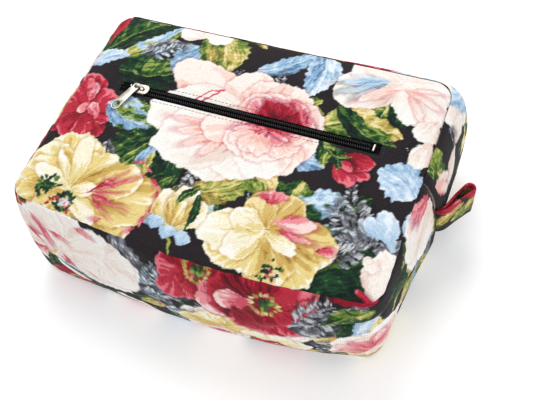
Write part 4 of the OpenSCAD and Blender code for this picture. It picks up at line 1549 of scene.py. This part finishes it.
def pull(name, matrix, body):
    """A flat tab with round ends, an eye round the bail's leg and an oval hole near its tip."""
    curve = bpy.data.curves.new("pull", "CURVE")
    curve.dimensions = "2D"
    curve.fill_mode = "BOTH"
    curve.extrude = 0.28 * MM
    curve.bevel_depth = 0.22 * MM
    curve.bevel_resolution = 2
    w, back = PULL_W / 2 - 0.22, PULL_EYE_R
    tip = PULL_W / 2 - PULL_L
    outer = arc_points(0, 0, back, 0, 180, 20) + [(-back, -6), (-0.5 * (back + w), -12)]
    outer += arc_points(0, tip, w, 180, 360, 24) + [(0.5 * (back + w), -12), (back, -6)]
    eye = arc_points(0, 0, 1.52, 360, 15, 24)
    hole = [(x, y * 1.25 + tip + 0.55) for x, y in arc_points(0, 0, w - 0.75, 360, 15, 24)]
    for ring in (outer, eye, hole):
        spline = curve.splines.new("POLY")
        spline.points.add(len(ring) - 1)
        spline.points.foreach_set("co", [c for x, y in ring for c in (x * MM, y * MM, 0, 1)])
        spline.use_cyclic_u = True
    holder = bpy.data.objects.new("pull", curve)
    mesh = bpy.data.meshes.new_from_object(holder)
    bpy.data.objects.remove(holder)
    bm = bmesh.new()
    bm.from_mesh(mesh)
    bpy.data.meshes.remove(mesh)
    bmesh.ops.remove_doubles(bm, verts=bm.verts, dist=1e-6)
    bmesh.ops.recalc_face_normals(bm, faces=bm.faces)
    metal_piece(name + "_tab", bm, matrix, body, [name])


def stop(name, matrix, halves):
    """Stops crimped round the coil: two side by side, or one that bridges both tapes."""
    bm = bmesh.new()
    spans = ((0.85, 2.85), (-2.85, -0.85)) if halves else ((-2.85, 2.85),)
    for low, high in spans:
        prism(bm, rounded_outline(-0.75, 0.75, low, high, 0.45), TAPE_T / 2, TAPE_T / 2 + 2.05, 0.4)
        prism(bm, rounded_outline(-0.14, 0.14, low + 0.3, high - 0.3, 0.1), 1.5, 2.42, 0.06)
    metal_piece(name + "_clips", bm, matrix, "bag", [name])


def metal_parts():
    along, across, out = Vector((1, 0, 0)), Vector((0, 1, 0)), Vector((0, 0, 1))

    def middle(node):
        low, high = node_box(node)
        return (low + high) / 2

    pocket_x = middle("pocket_slider")[0]
    mouth_x = middle("mouth_slider")[0]
    pocket = zip_matrix((pocket_x, WINDOW_Y, POCKET_TAPE_Z), along, across, out)
    mouth = zip_matrix((mouth_x, MOUTH_TAPE_Y, MID_Z), along, out, across)
    tilt = Matrix.Rotation(math.radians(PULL_TILT), 4, "X")
    eye = Matrix.Translation(Vector((-BAIL_X, 0, PULL_Z)) * MM)
    turn = Matrix.Rotation(math.radians(POCKET_PULL_TURN), 4, "Z")
    slider("pocket_slider", pocket, "pocket_slider")
    pull("pocket_pull", pocket @ eye @ turn @ tilt, "pocket_pull")
    slider("mouth_slider", mouth, "mouth_slider")
    pull("mouth_pull", mouth @ eye, "mouth_pull")
    for node, halves in (("pocket_top_stops", True), ("pocket_bottom_stop", False)):
        stop(node, zip_matrix((middle(node)[0], WINDOW_Y, POCKET_TAPE_Z), along, across, out), halves)
    x = middle("mouth_top_stops")[0]
    stop("mouth_top_stops", zip_matrix((x, MOUTH_TAPE_Y, MID_Z), along, out, across), True)
    s = MOUTH_END - 4
    _, _, nx, ny = on_path(s)
    origin = mouth_at(s, 0, 0)
    matrix = zip_matrix(origin, Vector((ny, -nx, 0)), out, Vector((nx, ny, 0)))
    stop("mouth_bottom_stop", matrix, False)


# ---------------------------------------------------------------- pieces: thread

def stitches(centres, along, out):
    """Short raised stitches, each sunk a little at its ends, as (points, faces)."""
    share = np.array([-1, -0.86, -0.45, 0, 0.45, 0.86, 1])
    radius = 0.5 * STITCH_W * np.sqrt(1.02 - share ** 2)
    turn = np.arange(6) * math.pi / 3
    across = np.cross(along, out)
    middle = centres[:, None] + 0.5 * STITCH_L * share[None, :, None] * along[:, None]
    middle = middle - 0.22 * (share ** 4)[None, :, None] * out[:, None]
    ring = np.cos(turn)[None, None, :, None] * across[:, None, None] + (
        0.85 * np.sin(turn)[None, None, :, None] * out[:, None, None]
    )
    points = middle[:, :, None] + radius[None, :, None, None] * ring
    one = grid_faces(len(share), 6, wrap_m=True)
    last = (len(share) - 1) * 6
    caps = np.array([[0, 1, 2, 3], [0, 3, 4, 5]])
    one = np.concatenate([one, caps[:, ::-1], caps + last])[:, ::-1]
    faces = one[None] + (np.arange(len(centres)) * len(share) * 6)[:, None, None]
    return points.reshape(-1, 3), faces.reshape(-1, 4)


def row(place, a, b, out):
    """Centres, directions and normals of stitches along place(distance) from a to b."""
    d = np.arange(a + STITCH_PITCH / 2, b - STITCH_PITCH / 4, STITCH_PITCH)
    d = d + 0.16 * np.sin(d * 3.7)
    centres = place(d)
    along = place(d + 0.6) - place(d - 0.6)
    along /= np.linalg.norm(along, axis=1)[:, None]
    normal = out(d) if callable(out) else np.broadcast_to(np.array(out, float), along.shape)
    return stitches(centres, along, normal)


def pocket_stitches():
    x, y = WINDOW_X + STITCH_IN, WINDOW_HALF + STITCH_IN

    def on_panel(px, py):
        return np.stack([widened(px), bowed(px, py), panel_height(px, py) + 0.02], -1)

    parts = []
    for sign in (-1, 1):
        level = WINDOW_Y + sign * y
        parts.append(row(lambda d, level=level: on_panel(d, level + 0.15 * np.sin(d / 9)), -x, x, (0, 0, 1)))
        end = sign * x
        parts.append(row(lambda d, end=end: on_panel(end + 0 * d, d), WINDOW_Y - y, WINDOW_Y + y, (0, 0, 1)))
    points, faces = join_parts(parts)
    plain_piece("window_stitching", points, faces, None, "black_thread", "bag", ["pocket_topstitch"])


def mouth_stitches():
    for side, sign in SIDES:
        v = sign * (ZIP_EDGE + STITCH_IN)

        def beside_zip(s, v=v):
            return mouth_at(s, v, strip_out(s, v) + 0.03)

        for half, s0, s1 in HALVES:
            points, faces = row(beside_zip, s0 + 1, s1 - 1, path_normal)
            nodes = ["mouth_topstitch"] if half == "left" else ["flap_topstitch_" + side]
            name = f"zip_stitching_{side}_{half}"
            obj = plain_piece(name, points, faces, None, "black_thread", None, nodes)
            swings(obj)


def junction_stitches():
    def outwards(z):
        return path_normal(JUNCTION_STITCH_S + 0 * z)

    def beside_seam(z):
        return wall(JUNCTION_STITCH_S, (z - BACK_Z) / (FRONT_Z - BACK_Z)) + 0.05 * outwards(z)

    points, faces = row(beside_seam, BACK_Z + 4, FRONT_Z - 3, outwards)
    plain_piece("junction_stitching", points, faces, None, "black_thread", "bag", ["junction_topstitch"])


# ---------------------------------------------------------------- pieces: loop

LOOP_LOW, LOOP_HIGH = node_box("loop_tab")
LOOP_W = LOOP_HIGH[2] - LOOP_LOW[2]
LOOP_HINGE = np.array(joint("loop_swing")["pos_m"]) / MM
LOOP_T = 1.6
LOOP_LEAN = 60.0
LOOP_REACH = 35.0
LOOP_FOLD_R = 3.6
LOOP_STITCH_IN = 2.1


def loop_spine(r):
    """Middle line of the loop: straight out of the seam, then leaning towards the mouth."""
    steps = np.linspace(0, LOOP_REACH, 200)
    lean = np.radians(LOOP_LEAN) * smooth(2, 15, steps) + 0.10 * np.sin(steps / 9)
    gap = np.gradient(steps)
    x = np.concatenate([[0], np.cumsum(np.cos(lean[1:]) * gap[1:])])
    y = np.concatenate([[0], np.cumsum(np.sin(lean[1:]) * gap[1:])])
    turn = np.interp(r, steps, lean)
    place = np.stack([LOOP_HINGE[0] + np.interp(r, steps, x), LOOP_HINGE[1] + np.interp(r, steps, y)], -1)
    return place, turn


def loop_line():
    """The strap's middle line: out along the lower side, round the fold and back along the upper."""
    r = np.linspace(0, LOOP_REACH, 44)
    place, turn = loop_spine(r)
    apart = 0.9 + (LOOP_FOLD_R - 0.9) * smooth(4, LOOP_REACH + 6, r) ** 0.8
    aside = np.stack([-np.sin(turn), np.cos(turn)], -1) * apart[:, None]
    lower, upper = place - aside, place + aside
    around = [turn[-1] + math.radians(a) for a in np.linspace(-90, 90, 15)[1:-1]]
    fold = [place[-1] + apart[-1] * np.array([math.cos(a), math.sin(a)]) for a in around]
    return np.concatenate([lower, np.array(fold), upper[::-1]])


def loop_curl(d):
    """How far the strap strays sideways along its length."""
    return 0.6 * np.sin(d / 14 + 0.5)


def loop_tab():
    line = loop_line()
    gap = np.hypot(*np.diff(line, axis=0).T)
    d = np.concatenate([[0], np.cumsum(gap)])
    fine = span(0, d[-1], 0.8)
    xy = np.stack([np.interp(fine, d, line[:, 0]), np.interp(fine, d, line[:, 1])], -1)
    along = np.gradient(xy, axis=0)
    along /= np.linalg.norm(along, axis=1)[:, None]
    out = np.stack([along[:, 1], -along[:, 0]], -1)
    half = LOOP_W / 2
    flat = span(-half + 0.7, half - 0.7, 0.8)
    edge = np.radians(np.linspace(90, -90, 5)[1:-1])
    section = [(z, LOOP_T / 2) for z in flat]
    section += [(half - 0.7 + 0.7 * math.cos(a), LOOP_T / 2 * math.sin(a)) for a in edge]
    section += [(z, -LOOP_T / 2) for z in flat[::-1]]
    section += [(-half + 0.7 - 0.7 * math.cos(a), -LOOP_T / 2 * math.sin(a)) for a in edge]
    section = np.array(section)
    z, n = section[:, 0], section[:, 1]
    gd, gz = np.meshgrid(fine, z, indexing="ij")
    quilt = -0.22 * np.exp(-((np.abs(gz) - (half - LOOP_STITCH_IN)) / 0.8) ** 2)
    puff = (1 + quilt) * n[None] + 0.25 * fbm(gd / 9, gz / 9, 71)
    place = xy[:, None] + out[:, None] * puff[..., None]
    points = np.concatenate([place, (MID_Z + gz + loop_curl(gd))[..., None]], -1)
    faces = grid_faces(len(fine), len(z), wrap_m=True, flip=True)
    fan = np.array([[k, k + 1, len(z) - 2 - k, len(z) - 1 - k] for k in range(0, len(z) // 2 - 1)])
    start = (len(fine) - 1) * len(z)
    faces = np.concatenate([faces, fan, fan[:, ::-1] + start])
    obj = canvas_piece("folded_loop", points, faces, np.stack([gd, gz], -1), loop_print, None, ["loop_tab"])
    loop_bends(obj)
    loop_stitches(fine, xy, out)


def loop_stitches(fine, xy, out):
    """A row of stitches near each edge of the strap, on its outer side."""
    def outwards(q):
        return np.stack([np.interp(q, fine, out[:, 0]), np.interp(q, fine, out[:, 1]), 0 * q], -1)

    face = xy + out * (LOOP_T / 2 - 0.1)
    edge = LOOP_W / 2 - LOOP_STITCH_IN
    rows = []
    for level in (-edge, edge):
        def beside_edge(q, level=level):
            at = np.stack([np.interp(q, fine, face[:, k]) for k in (0, 1)], -1)
            return np.concatenate([at, (MID_Z + level + loop_curl(q))[:, None]], -1)

        rows.append(row(beside_edge, 6, fine[-1] - 6, outwards))
    points, faces = join_parts(rows)
    obj = plain_piece("loop_stitching", points, faces, None, "black_thread", None, ["loop_topstitch"])
    loop_bends(obj)


def loop_bends(obj):
    """Bakes the loop's placement into its mesh."""
    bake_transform(obj)


# ---------------------------------------------------------------- stage

def soft_area(name, place, aim, size, energy, colour):
    light = bpy.data.lights.new(name, "AREA")
    light.shape = "DISK"
    light.size = size
    light.energy = energy
    light.color = colour
    obj = bpy.data.objects.new(name, light)
    obj.location = place
    obj.rotation_euler = (Vector(aim) - Vector(place)).to_track_quat("-Z", "Y").to_euler()
    bpy.context.scene.collection.objects.link(obj)


def stage():
    floor = bpy.data.meshes.new("floor")
    half = 3.0
    corners = [(-half, -half, 0), (half, -half, 0), (half, half, 0), (-half, half, 0)]
    floor.from_pydata(corners, [], [(0, 1, 2, 3)])
    obj = bpy.data.objects.new("floor", floor)
    bpy.context.scene.collection.objects.link(obj)
    mat, tree, shader = material("floor_white")
    shader.inputs["Base Color"].default_value = (0.96, 0.96, 0.96, 1)
    shader.inputs["Roughness"].default_value = 0.7
    shader.inputs["Emission Color"].default_value = (1, 1, 1, 1)
    shader.inputs["Emission Strength"].default_value = 0.16
    floor.materials.append(mat)
    world = bpy.data.worlds.new("studio")
    world.use_nodes = True
    world.node_tree.nodes["Background"].inputs["Color"].default_value = (0.97, 0.98, 1.0, 1)
    world.node_tree.nodes["Background"].inputs["Strength"].default_value = 0.70
    bpy.context.scene.world = world
    soft_area("key", (-0.35, 0.75, 1.15), (0, 0, 0.04), 0.9, 10, (1.0, 0.99, 0.97))
    soft_area("fill", (0.9, -0.7, 1.0), (0, 0, 0.04), 1.2, 5, (0.97, 0.98, 1.0))
    bpy.context.scene.view_settings.view_transform = "Standard"


def camera():
    place = Vector((0.1736, -0.2410, 0.4772))
    aim = Vector((0.0243, -0.0154, 0.0455))
    roll = math.radians(-13.4)
    cam = bpy.data.cameras.new("camera")
    cam.lens = 47.5
    cam.sensor_width = 36
    obj = bpy.data.objects.new("camera", cam)
    obj.location = place
    obj.rotation_mode = "QUATERNION"
    obj.rotation_quaternion = (aim - place).to_track_quat("-Z", "Y") @ Quaternion((0, 0, 1), roll)
    bpy.context.scene.collection.objects.link(obj)
    bpy.context.scene.camera = obj


camera()
stage()
front_panel()
back_panel()
main_gusset()
mouth_strips()
paddings_and_linings()
pocket_bag()
mouth_facings()
zip_rows()
metal_parts()
pocket_stitches()
mouth_stitches()
junction_stitches()
loop_tab()
